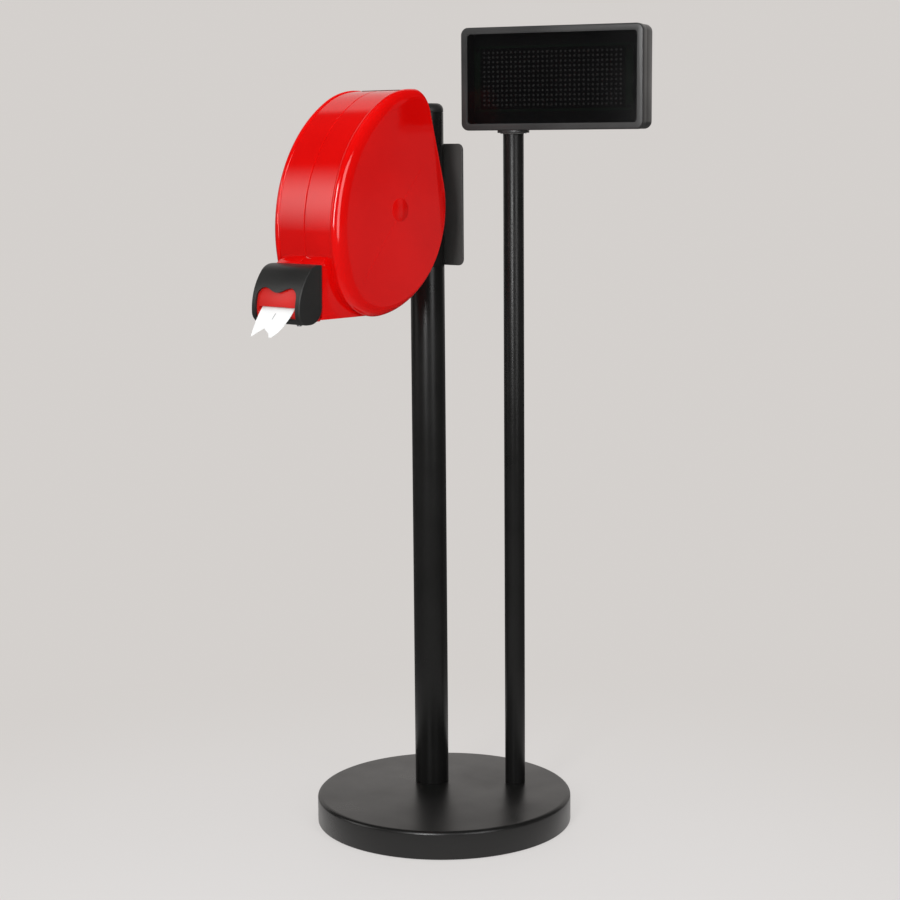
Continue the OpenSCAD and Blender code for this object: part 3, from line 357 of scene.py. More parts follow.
# ---- Display post ----
# A thinner steel tube, cut to length and powder coated, stands on its own plug in the base.
# It is open at the top for the display's spigot.
mast_x, mast_y, mast_r, mast_wall, mast_top = 47, 84, 12.7, 1.5, 857.2
tube = lathe([(mast_r, base_h), (mast_r, mast_top), (mast_r - mast_wall, mast_top),
              (mast_r - mast_wall, base_h)], 48)
soften(tube, 0.3, 2)
piece("display_post_tube", tube, powder_black, "stand", "post_black", "display_post",
      place=Matrix.Translation((mast_x * MM, mast_y * MM, 0)))

# ---- Bracket ----
# A flat steel plate behind the post and a half-round steel saddle before it, both powder
# coated. Two through bolts reach brass inserts in the housing's pad.
plate_w, plate_h, plate_t, plate_corner, plate_z = 79, 149, 3, 8, 771.5
plate = bmesh.new()
bmesh.ops.create_cube(plate, size=1, matrix=Matrix.Translation((0, post_r + plate_t / 2, plate_z))
                      @ Matrix.Diagonal((plate_w, plate_t, plate_h, 1)))
soften(plate, plate_corner, 8, lambda e: abs(e.verts[0].co.y - e.verts[1].co.y) > 1)
soften(plate, 0.6, 3, angle=60)
# The plate has the post's black powder coat, painted much lighter here: painted light, for the light that
# falls on its face.
plate_powder_painted_lighter = coated("plate_black_painted_lighter", (0.050, 0.050, 0.048), (0.062, 0.061, 0.059), 0.40,
                      Specular_IOR_Level=0.35)
piece("rear_plate_cut", plate, plate_powder_painted_lighter, "stand", "post_black", "rear_plate", place=HOUSE)
refined("saddle", powder_black, "stand", "post_black", 0.5)
refined("mount_bolts", zinc, "stand", "zinc_steel", 0.6)
refined("mount_washers", zinc, "stand", "zinc_steel")
brass = Finish("brass_insert", Metallic=1.0)
brass.dress(brass.colours(brass.noise(80, 3), (0.62, 0.44, 0.18), (0.78, 0.60, 0.28)), 0.35,
            brass.bump(brass.noise(900), 0.05))
refined("mount_inserts", brass, "stand", "insert_brass")

# ---- Housing ----
# Two glossy red ABS mouldings that meet in a seam down the middle of the band. Each has a
# bead-like rim between band and side, and together they form the neck for the paper's outlet.
# The left one is fixed to the post, the right one swings down on a pin along the bottom seam.
half_w, band_half, house_top, top_u = 55, 43, 908.5, 70.7
# Arcs of the side outline, from the top forwards and down: each one's radius, and the heading
# in degrees at which it ends.
arcs = ((96, 30), (170, 58), (175, 108), (64, 187), (118, 242), (134, 285))
corner_r, rim_proud, face_inset, wall, seam = 16, 1.8, 17, 2.5, 0.3
hub_u, hub_z = 106, 769.5
red = Finish("gloss_red_abs", Specular_IOR_Level=0.45)
wave, speck, cloud = red.noise(38, 1), red.noise(420, 3), red.noise(9, 3)
red.dress(red.colours(red.between(cloud, 0.35, 0.65), (0.62, 0.0016, 0.0012), (0.68, 0.0026, 0.0020)),
          red.between(cloud * 0.7 + speck * 0.3, 0.35, 0.65, 0.06, 0.10),
          red.bump(wave + speck * 0.02, 0.05))


def turn(radius, start, end):
    """How far (forward, up) an arc of the outline goes between two headings in degrees."""
    a, b = radians(start), radians(end)
    return radius * Vector((sin(b) - sin(a), cos(b) - cos(a)))


def outward(heading):
    """The direction (forward, up) that points out of the outline at a heading in degrees."""
    return Vector((sin(radians(heading)), cos(radians(heading))))


headings = [0] + [end for _, end in arcs]
moves = [turn(radius, start, end) for (radius, end), start in zip(arcs, headings)]
closing = sum(moves, Vector((0, 0))) + turn(corner_r, headings[-1], 360)
rear_length = closing.y / sin(radians(headings[-1]))
first_u = top_u - closing.x - rear_length * cos(radians(headings[-1]))
outline = [(radius, end) for radius, end in arcs] + [(None, rear_length), (corner_r, 360)]
origins = [Vector((first_u, house_top)) + sum(moves[:i], Vector((0, 0))) for i in range(len(moves) + 1)]
# The outline is scaled about its rearmost corner, four of the six steps along the last arc.
rear_r, rear_start, rear_end = arcs[5][0], headings[5], headings[6]
rearmost = rear_start + 4 * (rear_end - rear_start) / 6
rear = origins[5] - rear_r * outward(rear_start) + rear_r * outward(rearmost)
front_r = arcs[2][0]
front_u = (origins[3] - front_r * outward(headings[3])).x + front_r
length = front_u - rear.x


def trace(bm, x, start, moves, inset=0.0, fine=2.5):
    """Draws a closed outline at x, clockwise from start. A move is an arc's radius and the heading
    in degrees at which it ends, or None and the length of a straight."""
    tip = begin = bm.verts.new((x, -start[0], start[1] - inset))
    heading = 0
    for radius, end in moves:
        a = radians(heading)
        if radius is None:
            fresh = bmesh.ops.extrude_vert_indiv(bm, verts=[tip])["verts"][0]
            fresh.co += end * Vector((0, -cos(a), -sin(a)))
            tip = fresh
            continue
        centre = tip.co - (radius - inset) * Vector((0, -sin(a), cos(a)))
        swept = bmesh.ops.spin(bm, geom=[tip], cent=centre, axis=(1, 0, 0), angle=radians(end - heading),
                               steps=max(2, ceil((end - heading) / fine)))
        tip = [g for g in swept["geom_last"] if isinstance(g, bmesh.types.BMVert)][0]
        heading = end
    if (tip.co - begin.co).length < 0.01:
        bmesh.ops.pointmerge(bm, verts=[tip, begin], merge_co=begin.co)
    else:
        bm.edges.new((tip, begin))


def half_solid(stations, inset=0.0):
    """A closed solid through the housing's outline at (x, share of full size) stations."""
    bm = bmesh.new()
    trace(bm, stations[0][0], (first_u, house_top), outline, inset)
    ring = bm.edges[:]
    bmesh.ops.edgeloop_fill(bm, edges=ring)
    centre = Matrix.Translation((0, rear.x, -rear.y))
    for (x, share), (x1, share1) in zip(stations, stations[1:]):
        made = bmesh.ops.extrude_edge_only(bm, edges=ring)["geom"]
        fresh = [g for g in made if isinstance(g, bmesh.types.BMVert)]
        known = set(fresh)
        ring = [e for e in bm.edges if e.verts[0] in known and e.verts[1] in known]
        bmesh.ops.scale(bm, vec=(1, share1 / share, share1 / share), space=centre, verts=fresh)
        bmesh.ops.translate(bm, vec=(x1 - x, 0, 0), verts=fresh)
    bmesh.ops.edgeloop_fill(bm, edges=ring)
    bmesh.ops.recalc_face_normals(bm, faces=bm.faces)
    return bm


def drawn(bm, faces, way):
    """Extrudes faces along way into a prism that faces outwards."""
    made = bmesh.ops.extrude_face_region(bm, geom=faces)["geom"]
    bmesh.ops.translate(bm, vec=way, verts=[g for g in made if isinstance(g, bmesh.types.BMVert)])
    bmesh.ops.recalc_face_normals(bm, faces=bm.faces)
    return bm


def across(points, x0, x1):
    """A prism across the housing from x0 to x1, of a (forward, up) outline."""
    bm = bmesh.new()
    side = bm.faces.new([bm.verts.new((x0, -u, z)) for u, z in points])
    return drawn(bm, [side], (x1 - x0, 0, 0))


def box(x0, x1, u0, u1, z0, z1):
    return across([(u0, z0), (u1, z0), (u1, z1), (u0, z1)], x0, x1)


def rod(start, end, radius, edge=0.2, steps=40):
    """A cylinder between two (x, forward, up) points."""
    bm = bmesh.new()
    a, b = (Vector((x, -u, z)) for x, u, z in (start, end))
    turned = (b - a).to_track_quat("Z", "Y").to_matrix().to_4x4()
    bmesh.ops.create_cone(bm, cap_ends=True, segments=steps, radius1=radius, radius2=radius,
                          depth=(b - a).length, matrix=Matrix.Translation((a + b) / 2) @ turned)
    if edge:
        soften(bm, edge, 2, angle=60)
    return bm


def combined(first, *steps):
    """Joins closed meshes to the first or cuts them from it, in turn."""
    def hold(bm):
        mesh = bpy.data.meshes.new("work")
        bm.to_mesh(mesh)
        bm.free()
        work = bpy.data.objects.new("work", mesh)
        scene.collection.objects.link(work)
        return work
    body = hold(first)
    tools = []
    for operation, tool in steps:
        tools.append(hold(tool))
        step = body.modifiers.new("step", "BOOLEAN")
        step.operation, step.solver, step.object = operation, "EXACT", tools[-1]
    depsgraph = bpy.context.evaluated_depsgraph_get()
    mesh = bpy.data.meshes.new_from_object(body.evaluated_get(depsgraph))
    result = bmesh.new()
    result.from_mesh(mesh)
    bpy.data.meshes.remove(mesh)
    for work in [body] + tools:
        mesh = work.data
        bpy.data.objects.remove(work)
        bpy.data.meshes.remove(mesh)
    bmesh.ops.remove_doubles(result, verts=result.verts, dist=1e-3)
    return result


def joined(bm, *parts):
    """Adds further closed meshes to bm."""
    for part in parts:
        mesh = bpy.data.meshes.new("work")
        part.to_mesh(mesh)
        part.free()
        bm.from_mesh(mesh)
        bpy.data.meshes.remove(mesh)
    return bm


rim_scale, face_scale, rim_x = rim_proud / length, face_inset / length, band_half + 2.5
neck_half, neck_bottom, neck_crease, neck_z, neck_u, neck_back = 38.5, 646.5, 718.7, 709.3, 221.5, 150
groove = 0.8                      # how far the seam's edges are broken


def rim_stations(x_end, share_end, steps):
    """The bead from its crest to the side face, as a quarter of an ellipse."""
    return [(rim_x + (x_end - rim_x) * sin(a), 1 + rim_scale - (rim_scale + share_end) * (1 - cos(a)))
            for a in (pi / 2 * k / steps for k in range(steps + 1))]


def neck_solid(half, inset, x0):
    """The neck, with the long steep chamfer on its upper outer edge."""
    reach = neck_u + (5 if inset else 0)
    bm = across([(neck_back, neck_bottom + inset), (reach, neck_bottom + inset), (reach, neck_z - inset),
                 (neck_u, neck_z - inset), (front_u - 1.5, neck_crease - inset),
                 (neck_back, neck_crease - inset)], x0, half)
    if not inset:
        bmesh.ops.remove_doubles(bm, verts=bm.verts, dist=1e-3)
    cut = Vector((4, 0, -(neck_crease + 0.1 - neck_z + 4)))
    bmesh.ops.bisect_plane(bm, geom=bm.verts[:] + bm.edges[:] + bm.faces[:],
                           plane_co=(half, 0, neck_z - inset - 4),
                           plane_no=Vector((-cut.z, 0, cut.x)).normalized(), clear_outer=True)
    bmesh.ops.holes_fill(bm, edges=[e for e in bm.edges if e.is_boundary])
    bmesh.ops.recalc_face_normals(bm, faces=bm.faces)
    return bm


# Stations from the seam outwards: the flat band, a fine step beside it, the bead and the side.
shell = half_solid([(seam / 2, 1 - groove / length), (seam / 2 + groove, 1), (22, 1), (band_half - 0.9, 1),
                    (band_half - 0.3, 1 - 0.6 / length), (band_half, 1 - 0.6 / length),
                    (band_half + 0.6, 1 + rim_scale * 0.45), (band_half + 1.4, 1 + rim_scale * 0.85)]
                   + rim_stations(half_w, face_scale, 18) + [(half_w, 1 - face_scale - 1.5 / length)])
hollow_half = half_solid([(-2, 1), (band_half, 1)] + rim_stations(half_w - wall, face_scale * 0.9, 8), wall)
neck = neck_solid(neck_half, 0, seam / 2)
soften(neck, groove, 1, lambda e: all(v.co.x < 1 for v in e.verts))
soften(neck, 1.2, 3, lambda e: all(v.co.x > 1 for v in e.verts)
       or all(v.co.z > neck_z - 1 for v in e.verts), angle=20)
knuckle_r, hinge_z = 4, neck_bottom + 4
latch_w, latch_u0, latch_u1, latch_gap = 62, 62.8, 80.8, 0.4
relief_u0, hinge_u1, knuckles = 116.3, 199.5, 5
hinge_u0 = relief_u0 + 6
half = combined(shell, ("UNION", neck), ("DIFFERENCE", hollow_half),
                ("DIFFERENCE", neck_solid(neck_half - wall, wall, -2)),
                ("DIFFERENCE", box(-1, latch_w / 2 + latch_gap, latch_u0 - latch_gap, latch_u1 + latch_gap,
                                   house_top - 15, house_top + 5)),
                ("DIFFERENCE", box(-1, knuckle_r + 1, relief_u0, neck_u + 1, neck_bottom - 2,
                                   hinge_z + knuckle_r + 1)))


def knuckle_row(odd):
    """Every other knuckle of the hinge, each with the web that joins it to the wall."""
    pitch = (hinge_u1 - hinge_u0) / knuckles
    parts = []
    for k in range(odd, knuckles, 2):
        u0, u1 = hinge_u0 + k * pitch + 0.15, hinge_u0 + (k + 1) * pitch - 0.15
        parts += [rod((0, u0, hinge_z), (0, u1, hinge_z), knuckle_r, 0.3),
                  box(0, knuckle_r + 1.5, u0, u1, hinge_z - 1.2, hinge_z + 1.2),
                  box(knuckle_r + 0.8, knuckle_r + 3, u0, u1, neck_bottom + 1, hinge_z + 1.2)]
    return parts


def face_line(start, end, width=0.9, height=0.15):
    """A faint raised witness line on the cover's side face between two (forward, up) points."""
    aside = (Vector(end) - Vector(start)).orthogonal().normalized() * width / 2
    bm = across([Vector(start) + aside, Vector(end) + aside, Vector(end) - aside, Vector(start) - aside],
                half_w - 0.5, half_w + height)
    soften(bm, 0.12, 1, angle=60)
    return bm


pad_half, pad_z0, pad_z1, pad_back, pad_front = 18, 738.5, 804.5, 26.35, 37.5
slack, pad_swing = 0.3, 1.65      # the cover's room round the pad, and above it while it swings
rib_x, rib_t, rib_bottom = 33.6, 3, 900.5
boss_r, boss_proud = 13.5, 0.4
witness_lines = (((99, 781), (68.3, 817.3)), ((113, 757.5), (170, 686.6)))
right = combined(half.copy(), ("DIFFERENCE", box(-1, pad_half + slack, 0, pad_front + slack,
                                                 pad_z0 - slack, pad_z1 + pad_swing)))
joined(right, *knuckle_row(1), box(rib_x, rib_x + rib_t, top_u, latch_u1, rib_bottom, house_top - 1.3),
       rod((half_w - wall, hub_u, hub_z), (half_w + boss_proud, hub_u, hub_z), boss_r, 0.3, 64),
       *[face_line(*ends) for ends in witness_lines])
piece("right_cover_moulded", right, red, "cover", "red_shell", "right_cover", place=HOUSE)


def flipped(bm):
    """Turns a mesh of the right half over to the left one."""
    bmesh.ops.scale(bm, vec=(-1, 1, 1), verts=bm.verts)
    bmesh.ops.reverse_faces(bm, faces=bm.faces)
    return bm


left = flipped(half)
seat_x, seat_r = -half_w + wall + 4, 24
shelf_z, shelf_t, shelf_end = house_top - 28, 3, -8.5
block_half, block_screw_u, block_screw_z = 35.5, neck_u - 10, (658, 682)
joined(left, *[flipped(part) for part in knuckle_row(0)],
       box(-band_half - 8, pad_half, pad_back, pad_front, pad_z0, pad_z1),
       box(-half_w + wall / 2, shelf_end, latch_u0, latch_u1, shelf_z - shelf_t, shelf_z),
       *[rod((-neck_half + 0.5, block_screw_u, z), (-block_half, block_screw_u, z), 5)
         for z in block_screw_z],
       rod((-half_w + wall / 2, hub_u, hub_z), (seat_x, hub_u, hub_z), seat_r, 0.4, 64))
piece("left_shell_moulded", left, red, "stand", "red_shell", "left_shell", place=HOUSE)
refined("hinge_pin", zinc, "stand", "zinc_steel")

# ---- Latch ----
# A dark maroon push bar across the seam at the top, with a hooked arm under the cover and a
# compression spring of steel wire under its free end.
maroon = coated("maroon_abs", (0.075, 0.004, 0.007), (0.10, 0.006, 0.010), 0.45, 1200, 0.03,
                Specular_IOR_Level=0.3)
bar_top, bar_bottom, arm_bottom = house_top + 1.2, house_top - 9, house_top - 12.4
bar = box(-latch_w / 2, latch_w / 2, latch_u0, latch_u1, bar_bottom, bar_top)
soften(bar, 0.7, 3, angle=60)
arm_x, flange_x, tooth_x, tooth_t, tooth_top = latch_w / 2 - 6, -36, 39.9, 3, 902.7
spring_x, spring_u, spring_pin_r = -16, 71.8, 3.7
joined(bar, box(flange_x, -latch_w / 2 + 0.2, top_u, latch_u1 - 4, bar_bottom, house_top - wall - slack),
       box(arm_x, tooth_x + tooth_t, latch_u0, latch_u1, arm_bottom, bar_bottom - 1),
       box(arm_x, latch_w / 2, latch_u0, latch_u1, arm_bottom, bar_bottom + 0.1),
       box(tooth_x, tooth_x + tooth_t, latch_u0, latch_u1, arm_bottom, tooth_top),
       rod((spring_x, spring_u, bar_bottom - 6), (spring_x, spring_u, bar_bottom + 0.1), spring_pin_r))
piece("latch_bar_moulded", bar, maroon, "latch", "latch_maroon", "latch_bar", place=HOUSE)
spring_r, wire_r, turns, spring_z0, spring_z1 = 4.5, 0.5, 5, 881.1, 898.9
coil = bmesh.new()
bmesh.ops.create_circle(coil, segments=10, radius=wire_r, matrix=Matrix.Translation((spring_r, 0, spring_z0))
                        @ Matrix.Rotation(pi / 2, 4, "X"))
spring_steps = turns * 28
swept = bmesh.ops.spin(coil, geom=coil.verts[:] + coil.edges[:], cent=(0, 0, 0), axis=(0, 0, 1),
                       dvec=(0, 0, (spring_z1 - spring_z0) / spring_steps), angle=turns * 2 * pi,
                       steps=spring_steps)
bmesh.ops.holes_fill(coil, edges=[e for e in coil.edges if e.is_boundary])
bmesh.ops.recalc_face_normals(coil, faces=coil.faces)
bmesh.ops.translate(coil, vec=(spring_x, -spring_u, 0), verts=coil.verts)
spring = piece("latch_spring_wound", coil, zinc, "stand", "zinc_steel", "latch_spring", place=HOUSE)
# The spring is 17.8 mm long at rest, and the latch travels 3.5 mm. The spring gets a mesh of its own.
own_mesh(spring)

# ---- Ticket roll ----
# The roll's card core turns on a moulded spindle that three screws hold to the left side,
# and a retainer disc keeps it on. The paper leaves the roll's underside.
roll_r, core_r, ticket_half = 68, 15.2, 27
spindle_black = coated("spindle_plastic", (0.020, 0.020, 0.021), (0.030, 0.030, 0.031), 0.38, 1400, 0.03)
card = Finish("core_card", Roughness=0.85)
card.dress(card.colours(card.noise(220, 4), (0.36, 0.27, 0.17), (0.50, 0.39, 0.27)), None,
           card.bump(card.noise(700, 4), 0.15))
paper = Finish("ticket_paper", Roughness=0.72)
paper.dress(paper.colours(paper.noise(500, 5), (0.78, 0.79, 0.79), (0.84, 0.85, 0.845)), None,
            paper.bump(paper.noise(1600, 4), 0.03))
wound = Finish("wound_paper", Roughness=0.8)
spot = wound.node("VectorMath", {"operation": "SUBTRACT"},
                  {0: wound.node("TexCoord", out="Object"),
                   1: (0, (post_y - hub_u) * MM, hub_z * MM)})
spot = wound.node("VectorMath", {"operation": "MULTIPLY"}, {0: spot, 1: (0, 1, 1)})
layer = wound.node("VectorMath", {"operation": "LENGTH"}, {0: spot}, out=1)
rings = wound.node("TexNoise", {"noise_dimensions": "1D"}, {"W": layer, "Scale": 1400, "Detail": 3})
wound.dress(wound.colours(rings, (0.66, 0.655, 0.64), (0.86, 0.855, 0.84)), None, wound.bump(rings, 0.25))
roll = lathe([(core_r, -ticket_half), (roll_r, -ticket_half), (roll_r, ticket_half),
              (core_r, ticket_half)], 128)
soften(roll, 0.5, 2)
bmesh.ops.rotate(roll, cent=(0, 0, 0), matrix=Matrix.Rotation(pi / 2, 3, "Y"), verts=roll.verts)
bmesh.ops.translate(roll, vec=(0, -hub_u, hub_z), verts=roll.verts)
piece("ticket_roll_wound", roll, wound, "roll", "ticket_paper", "ticket_roll", place=HOUSE)
refined("roll_core", card, "roll", "core_card", 0.3)
refined("spindle", spindle_black, "stand", "spindle_black", 0.4)
refined("roll_retainer", spindle_black, "stand", "spindle_black", 0.5)
refined("spindle_screws", zinc, "stand", "zinc_steel", 0.3)
refined("retainer_screw", zinc, "stand", "zinc_steel", 0.3)
refined("paper_web", paper, "stand", "ticket_paper", 0)

# ---- Outlet block ----
# A moulded block of satin red ABS that screws hold in the neck. A curved way through it guides
# the strip out of a flared slot in its nose.
slot_u, slot_z, slot_half, curl_r, curl_slope = 247, 668, 27.8, 120, 46
curl_u = slot_u - curl_r * sin(radians(curl_slope))
curl_z = slot_z - curl_r * cos(radians(curl_slope))
block_back, block_top, block_bottom = 200.5, 688, 650


def curl_angle(s):
    """The angle up from forward at a length s beyond the slot, along the curl."""
    return pi / 2 - radians(curl_slope) - s / curl_r


# The hood's values come here because the block's nose follows the hood's inside.
hood_u0, hood_top, hood_bottom, hood_half, hood_wall = 221.9, 709.9, 642, 40, 2.5
hood_arcs = ((22, 50), (70.084, 92), (13, 180))
hood_first_u, heel_r, nose_gap = 226.15, 20, 0.3


def hood_solid(half, inset, back):
    """The hood's side outline, drawn across the housing."""
    bm = bmesh.new()
    sweep = sum((turn(r, a, b) for (r, b), a in zip(hood_arcs, (0, 50, 92))), Vector((0, 0)))
    run = hood_first_u + sweep.x - back
    tail = [(None, run)] if inset else [(None, run - heel_r), (heel_r, 270)]
    trace(bm, -half, (back, hood_top), [(None, hood_first_u - back)] + list(hood_arcs) + tail, inset, 4)
    side = bmesh.ops.edgeloop_fill(bm, edges=bm.edges[:])["faces"]
    return drawn(bm, side, (2 * half, 0, 0))


nose = combined(hood_solid(block_half, hood_wall + nose_gap, neck_u - 3),
                ("INTERSECT", box(-block_half - 1, block_half + 1, neck_u, 270, hood_bottom, block_top)))
soften(nose, 1.2, 3, lambda e: min(v.co.y for v in e.verts) < -neck_u - 2, angle=50)


def way_line(side, start, end, gap):
    """Points beside the strip's curl, from one length along it to another."""
    points = []
    for s in range(start, end, 2 if end > start else -2):
        r = curl_r + side * gap(s)
        points.append((curl_u + r * cos(curl_angle(s)), curl_z + r * sin(curl_angle(s))))
    return points


# The way is 1.8 mm high and flares upwards where the strip leaves the nose.
way_half, flare, flare_length = 0.9, 2.2, 8
way = (way_line(1, -74, 30, lambda s: way_half + flare * min(max(s, 0) / flare_length, 1))
       + way_line(-1, 28, -76, lambda s: way_half))
block = combined(box(-block_half, block_half, block_back, neck_u + 1, block_bottom, block_top),
                 ("UNION", nose), ("DIFFERENCE", across(way, -slot_half - 3, slot_half + 3)))
red_satin = coated("satin_red_abs", (0.56, 0.010, 0.008), (0.62, 0.015, 0.012), 0.34, 1100, 0.03,
                   Specular_IOR_Level=0.35)
piece("outlet_block_moulded", block, red_satin, "stand", "red_shell", "outlet_block", place=HOUSE)
refined("block_screws", zinc, "stand", "zinc_steel", 0.3)

# ---- Snout hood ----
# A black grained ABS hood over the outlet, screwed on from below. Its mouth has two bumps
# so that the ticket's edge can be gripped.
mouth_half, mouth_z0, bump_x, bump_z, dip = 33, 649.5, 21.5, 684, 5.6
mouth_r = mouth_half - bump_x
lobe = [(bump_x + mouth_r * cos(radians(a)), bump_z - mouth_r * (1 - sin(radians(a))))
        for a in range(0, 84, 6)]
arch = [(bump_x * t / 12, bump_z - dip / 2 * (1 + cos(pi * t / 12))) for t in range(12, -1, -1)]
right_side = [(mouth_half, mouth_z0)] + lobe + arch
mouth_line = right_side + [(-x, z) for x, z in reversed(right_side[:-1])]
mouth = bmesh.new()
opening = mouth.faces.new([mouth.verts.new((x, -slot_u + 3, z)) for x, z in mouth_line])
drawn(mouth, [opening], (0, -30, 0))
hood = hood_solid(hood_half, 0, hood_u0)
soften(hood, 3.2, 5, lambda e: abs(e.verts[0].co.x) > hood_half - 0.1
       and abs(e.verts[0].co.x - e.verts[1].co.x) < 1
       and min(v.co.y for v in e.verts) < -hood_u0 - 0.01, angle=60)
hood = combined(hood, ("DIFFERENCE", hood_solid(hood_half - hood_wall, hood_wall, hood_u0 - 1)),
                ("DIFFERENCE", mouth))
hood_black = coated("grained_black_abs", (0.0135, 0.0135, 0.0132), (0.0195, 0.0195, 0.019), 0.40, 1300, 0.05,
                    Specular_IOR_Level=0.45)
piece("snout_hood_moulded", hood, hood_black, "stand", "hood_black", "snout_hood", place=HOUSE)
refined("hood_screws", zinc, "stand", "zinc_steel", 0.3)

# ---- Ticket ----
# The free end of the thin paper strip, curling down out of the slot, with a swallow-tailed
# tear at its end and a faint printed tick near the slot.
ticket_t, ticket_out, ticket_in, tail_x, tip_x = 0.4, 48, 58, -9, 3


def band(half, thick, start, end, steps):
    """A curved sheet round the curl's centre, between two angles up from forward."""
    bm = bmesh.new()
    corners = [bm.verts.new((x, -(curl_u + r * cos(start)), curl_z + r * sin(start)))
               for x, r in ((-half, curl_r - thick / 2), (half, curl_r - thick / 2),
                            (half, curl_r + thick / 2), (-half, curl_r + thick / 2))]
    sheet = bm.faces.new(corners)
    bmesh.ops.spin(bm, geom=[sheet] + corners + list(sheet.edges), cent=(0, -curl_u, curl_z),
                   axis=(-1, 0, 0), angle=end - start, steps=steps)
    bmesh.ops.remove_doubles(bm, verts=bm.verts, dist=1e-3)
    bmesh.ops.recalc_face_normals(bm, faces=bm.faces)
    return bm


strip = band(ticket_half, ticket_t, curl_angle(ticket_out + 1.5), curl_angle(-ticket_in), 72)
tear_w, tear_l = ticket_half - tip_x + 0.6, ticket_out * 0.85
tear = [(-ticket_half - 1, -6), (-ticket_half - 1, -0.8), (tail_x, 11), (tip_x - 2.5, 5), (tip_x, 0)]
tear += [(tip_x + tear_w * sin(radians(9 * k)), tear_l * (k / 10) ** 1.6) for k in range(1, 11)]
tear += [(ticket_half + 2, tear_l), (ticket_half + 2, -6)]
cutter = bmesh.new()
edge_face = cutter.faces.new([cutter.verts.new((x, 15, s)) for x, s in tear])
drawn(cutter, [edge_face], (0, -30, 0))
tip_angle = curl_angle(ticket_out)
tip = (0, -(curl_u + curl_r * cos(tip_angle)), curl_z + curl_r * sin(tip_angle))
bmesh.ops.transform(cutter, matrix=Matrix.Translation(tip)
                    @ Matrix.Rotation(-curl_angle(ticket_out * 0.75), 4, "X"), verts=cutter.verts)
strip = combined(strip, ("DIFFERENCE", cutter))
printed = Finish("printed_paper", Roughness=0.72)
where = printed.node("SeparateXYZ", {}, {0: printed.node("TexCoord", out="Object")})
across_x, up_z = (Wire(printed, where.socket.node.outputs[axis]) for axis in ("X", "Z"))
tick_x, tick_z, tick_middle, tick_lean = 0.0395, 0.652, 0.6515, 0.25      # the first three in metres
slant = printed.node("Math", {"operation": "ABSOLUTE"},
                     {0: across_x + tick_x - (up_z - tick_z) * tick_lean})
reach_z = printed.node("Math", {"operation": "ABSOLUTE"}, {0: up_z - tick_middle})
tick = printed.between(slant, 0.0004, 0.0009, 0.7, 0) * printed.between(reach_z, 0.0028, 0.0040, 1, 0)
plain = printed.colours(printed.noise(500, 5), (0.89, 0.90, 0.90), (0.93, 0.94, 0.935))
ink = printed.node("Mix", {"data_type": "RGBA"}, {0: tick, 6: plain, 7: (0.10, 0.10, 0.11, 1)}, out=2)
printed.dress(ink, None, printed.bump(printed.noise(1600, 4), 0.03))
piece("ticket_strip_torn", strip, printed, "ticket", "ticket_paper", "ticket_strip", place=HOUSE)

# ---- Display frame and window ----
# A moulded frame of satin black ABS with a stepped inner lip, screwed to the rear housing from
# behind. It holds a window of smoked acrylic sheet.
display_turn = 19.2
DISPLAY = Matrix.Translation((mast_x * MM, mast_y * MM, 0)) @ Matrix.Rotation(radians(display_turn), 4, "Z")
disp_x0, disp_x1, disp_z0, disp_z1, disp_front, disp_depth = -61, 171, 861.5, 985, -19.35, 38.7
bezel_depth, bezel_w, disp_corner, disp_wall, inner_corner = 14, 8, 9, 2.5, 6.5
lip_w, lip_depth, window_front, window_t = 1.4, 0.9, 1.5, 2


def plate_solid(inset, corner, y0, y1, front_edge=0.0, back_edge=0.0):
    """A plate of the display's outline, moved inwards by inset, between two depths."""
    bm = bmesh.new()
    w, h = disp_x1 - disp_x0 - 2 * inset, disp_z1 - disp_z0 - 2 * inset
    bmesh.ops.create_cube(bm, size=1, matrix=Matrix.Translation(
        ((disp_x0 + disp_x1) / 2, disp_front + (y0 + y1) / 2, (disp_z0 + disp_z1) / 2))
        @ Matrix.Diagonal((w, y1 - y0, h, 1)))
    soften(bm, corner, 8, lambda e: abs(e.verts[0].co.y - e.verts[1].co.y) > 1)
    for edge, y in ((front_edge, y0), (back_edge, y1)):
        if edge:
            soften(bm, edge, 4, lambda e: all(abs(v.co.y - disp_front - y) < 0.01 for v in e.verts), angle=60)
    return bm


display_black = coated("satin_black_abs", (0.026, 0.026, 0.0262), (0.036, 0.036, 0.0358), 0.34, 1300, 0.03,
                       Specular_IOR_Level=0.45)
bezel = combined(plate_solid(0, disp_corner, 0, bezel_depth, 1.6, 0.4),
                 ("DIFFERENCE", plate_solid(bezel_w, 4, -1, bezel_depth + 1)),
                 ("DIFFERENCE", plate_solid(bezel_w - lip_w, 5, -1, lip_depth)),
                 ("DIFFERENCE", plate_solid(disp_wall, inner_corner, window_front, bezel_depth + 1)))
piece("display_frame", bezel, display_black, "display", "bezel_black", "bezel", place=DISPLAY)
smoked = Finish("smoked_acrylic", Specular_IOR_Level=0.2, Alpha=0.62)
smoked.dress(smoked.colours(smoked.noise(6, 2), (0.003, 0.003, 0.0032), (0.005, 0.005, 0.0052)),
             smoked.between(smoked.noise(30, 3), 0.3, 0.7, 0.10, 0.16))
pane = plate_solid(disp_wall + 0.1, inner_corner, window_front, window_front + window_t, 0.2)
piece("display_window", pane, smoked, "display", "window_smoke", "window", place=DISPLAY)

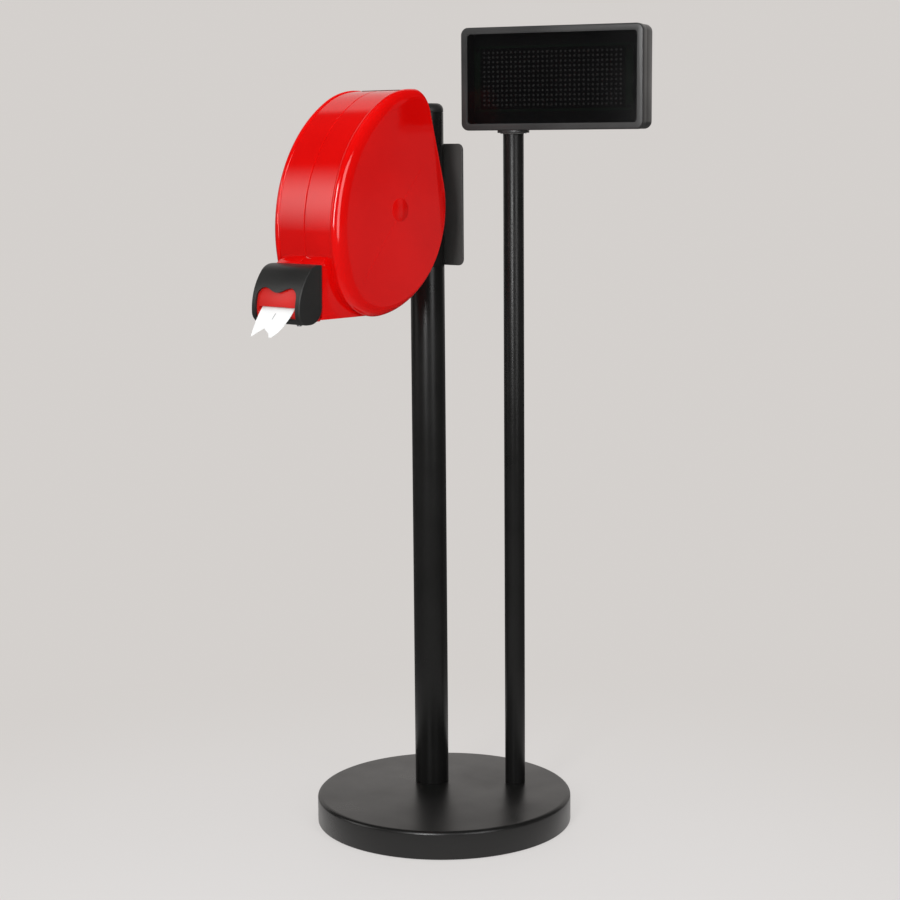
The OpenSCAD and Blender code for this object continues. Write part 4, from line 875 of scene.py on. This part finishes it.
# ---- Lamps and board ----
# Rows of small unlit plastic lamps stand in a matt black mask behind the window. Behind them is
# their green driver board, held by black screws.
columns, rows, column_pitch, row_pitch, lamp_r, lamp_h = 31, 12, 5.8, 5.7, 1.5, 0.9
mask_front, middle_x, middle_z = 4.6, 55, 923.25
matt = coated("matt_mask", (0.006, 0.006, 0.006), (0.010, 0.010, 0.010), 0.75, 1500, 0.04,
              Specular_IOR_Level=0.2)
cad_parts["led_mask"].data.materials.clear()
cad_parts["led_mask"].data.materials.append(matt.material)
lens_grey = Finish("unlit_lamp", Roughness=0.30)
lens_grey.dress(lens_grey.colours(lens_grey.noise(250, 1), (0.34, 0.33, 0.31), (0.50, 0.48, 0.46)), None,
                lens_grey.bump(lens_grey.noise(1200), 0.02))
lamps = bmesh.new()
for column in range(columns):
    for row in range(rows):
        x = middle_x + (column - (columns - 1) / 2) * column_pitch
        z = middle_z + (row - (rows - 1) / 2) * row_pitch
        bmesh.ops.create_cone(lamps, cap_ends=True, segments=8, radius1=lamp_r, radius2=lamp_r * 0.5,
                              depth=lamp_h,
                              matrix=Matrix.Translation((x, disp_front + mask_front - lamp_h / 2, z))
                              @ Matrix.Rotation(pi / 2, 4, "X"))
piece("lamp_field", lamps, lens_grey, "display", "lamp_dark", "led_lamps", place=DISPLAY, angle=60)
board = coated("board_green", (0.012, 0.065, 0.022), (0.02, 0.10, 0.035), 0.35, 400, 0.03)
refined("driver_board", board, "display", "board_green", 0)
refined("board_screws", powder_black, "display", "zinc_steel")

# ---- Rear housing ----
# A box-shaped moulding of the same black ABS closes the display behind the frame, with a seam
# between. Screws join the two, and the power inlet sits in it.
back = combined(plate_solid(0.4, disp_corner, bezel_depth + seam, disp_depth, 0.4, 2.2),
                ("DIFFERENCE", plate_solid(disp_wall + 0.4, inner_corner, bezel_depth,
                                           disp_depth - disp_wall)))
piece("display_back", back, display_black, "display", "bezel_black", "rear_housing", place=DISPLAY)
refined("housing_screws", zinc, "display", "zinc_steel", 0.2)
refined("dc_inlet", spindle_black, "display", "inlet_black", 0.3)

# ---- Display seat ----
# A round moulded flange with a spigot is screwed under the display. It turns in a nylon bush
# with a collar, which is pushed into the top of the display's post.
refined("swivel_flange", display_black, "display", "bezel_black", 0.4)
refined("flange_screws", zinc, "display", "zinc_steel", 0.15)
nylon = coated("bush_nylon", (0.10, 0.10, 0.10), (0.14, 0.14, 0.135), 0.5, 900, 0.03)
refined("swivel_bush", nylon, "stand", "bush_nylon", 0.2)
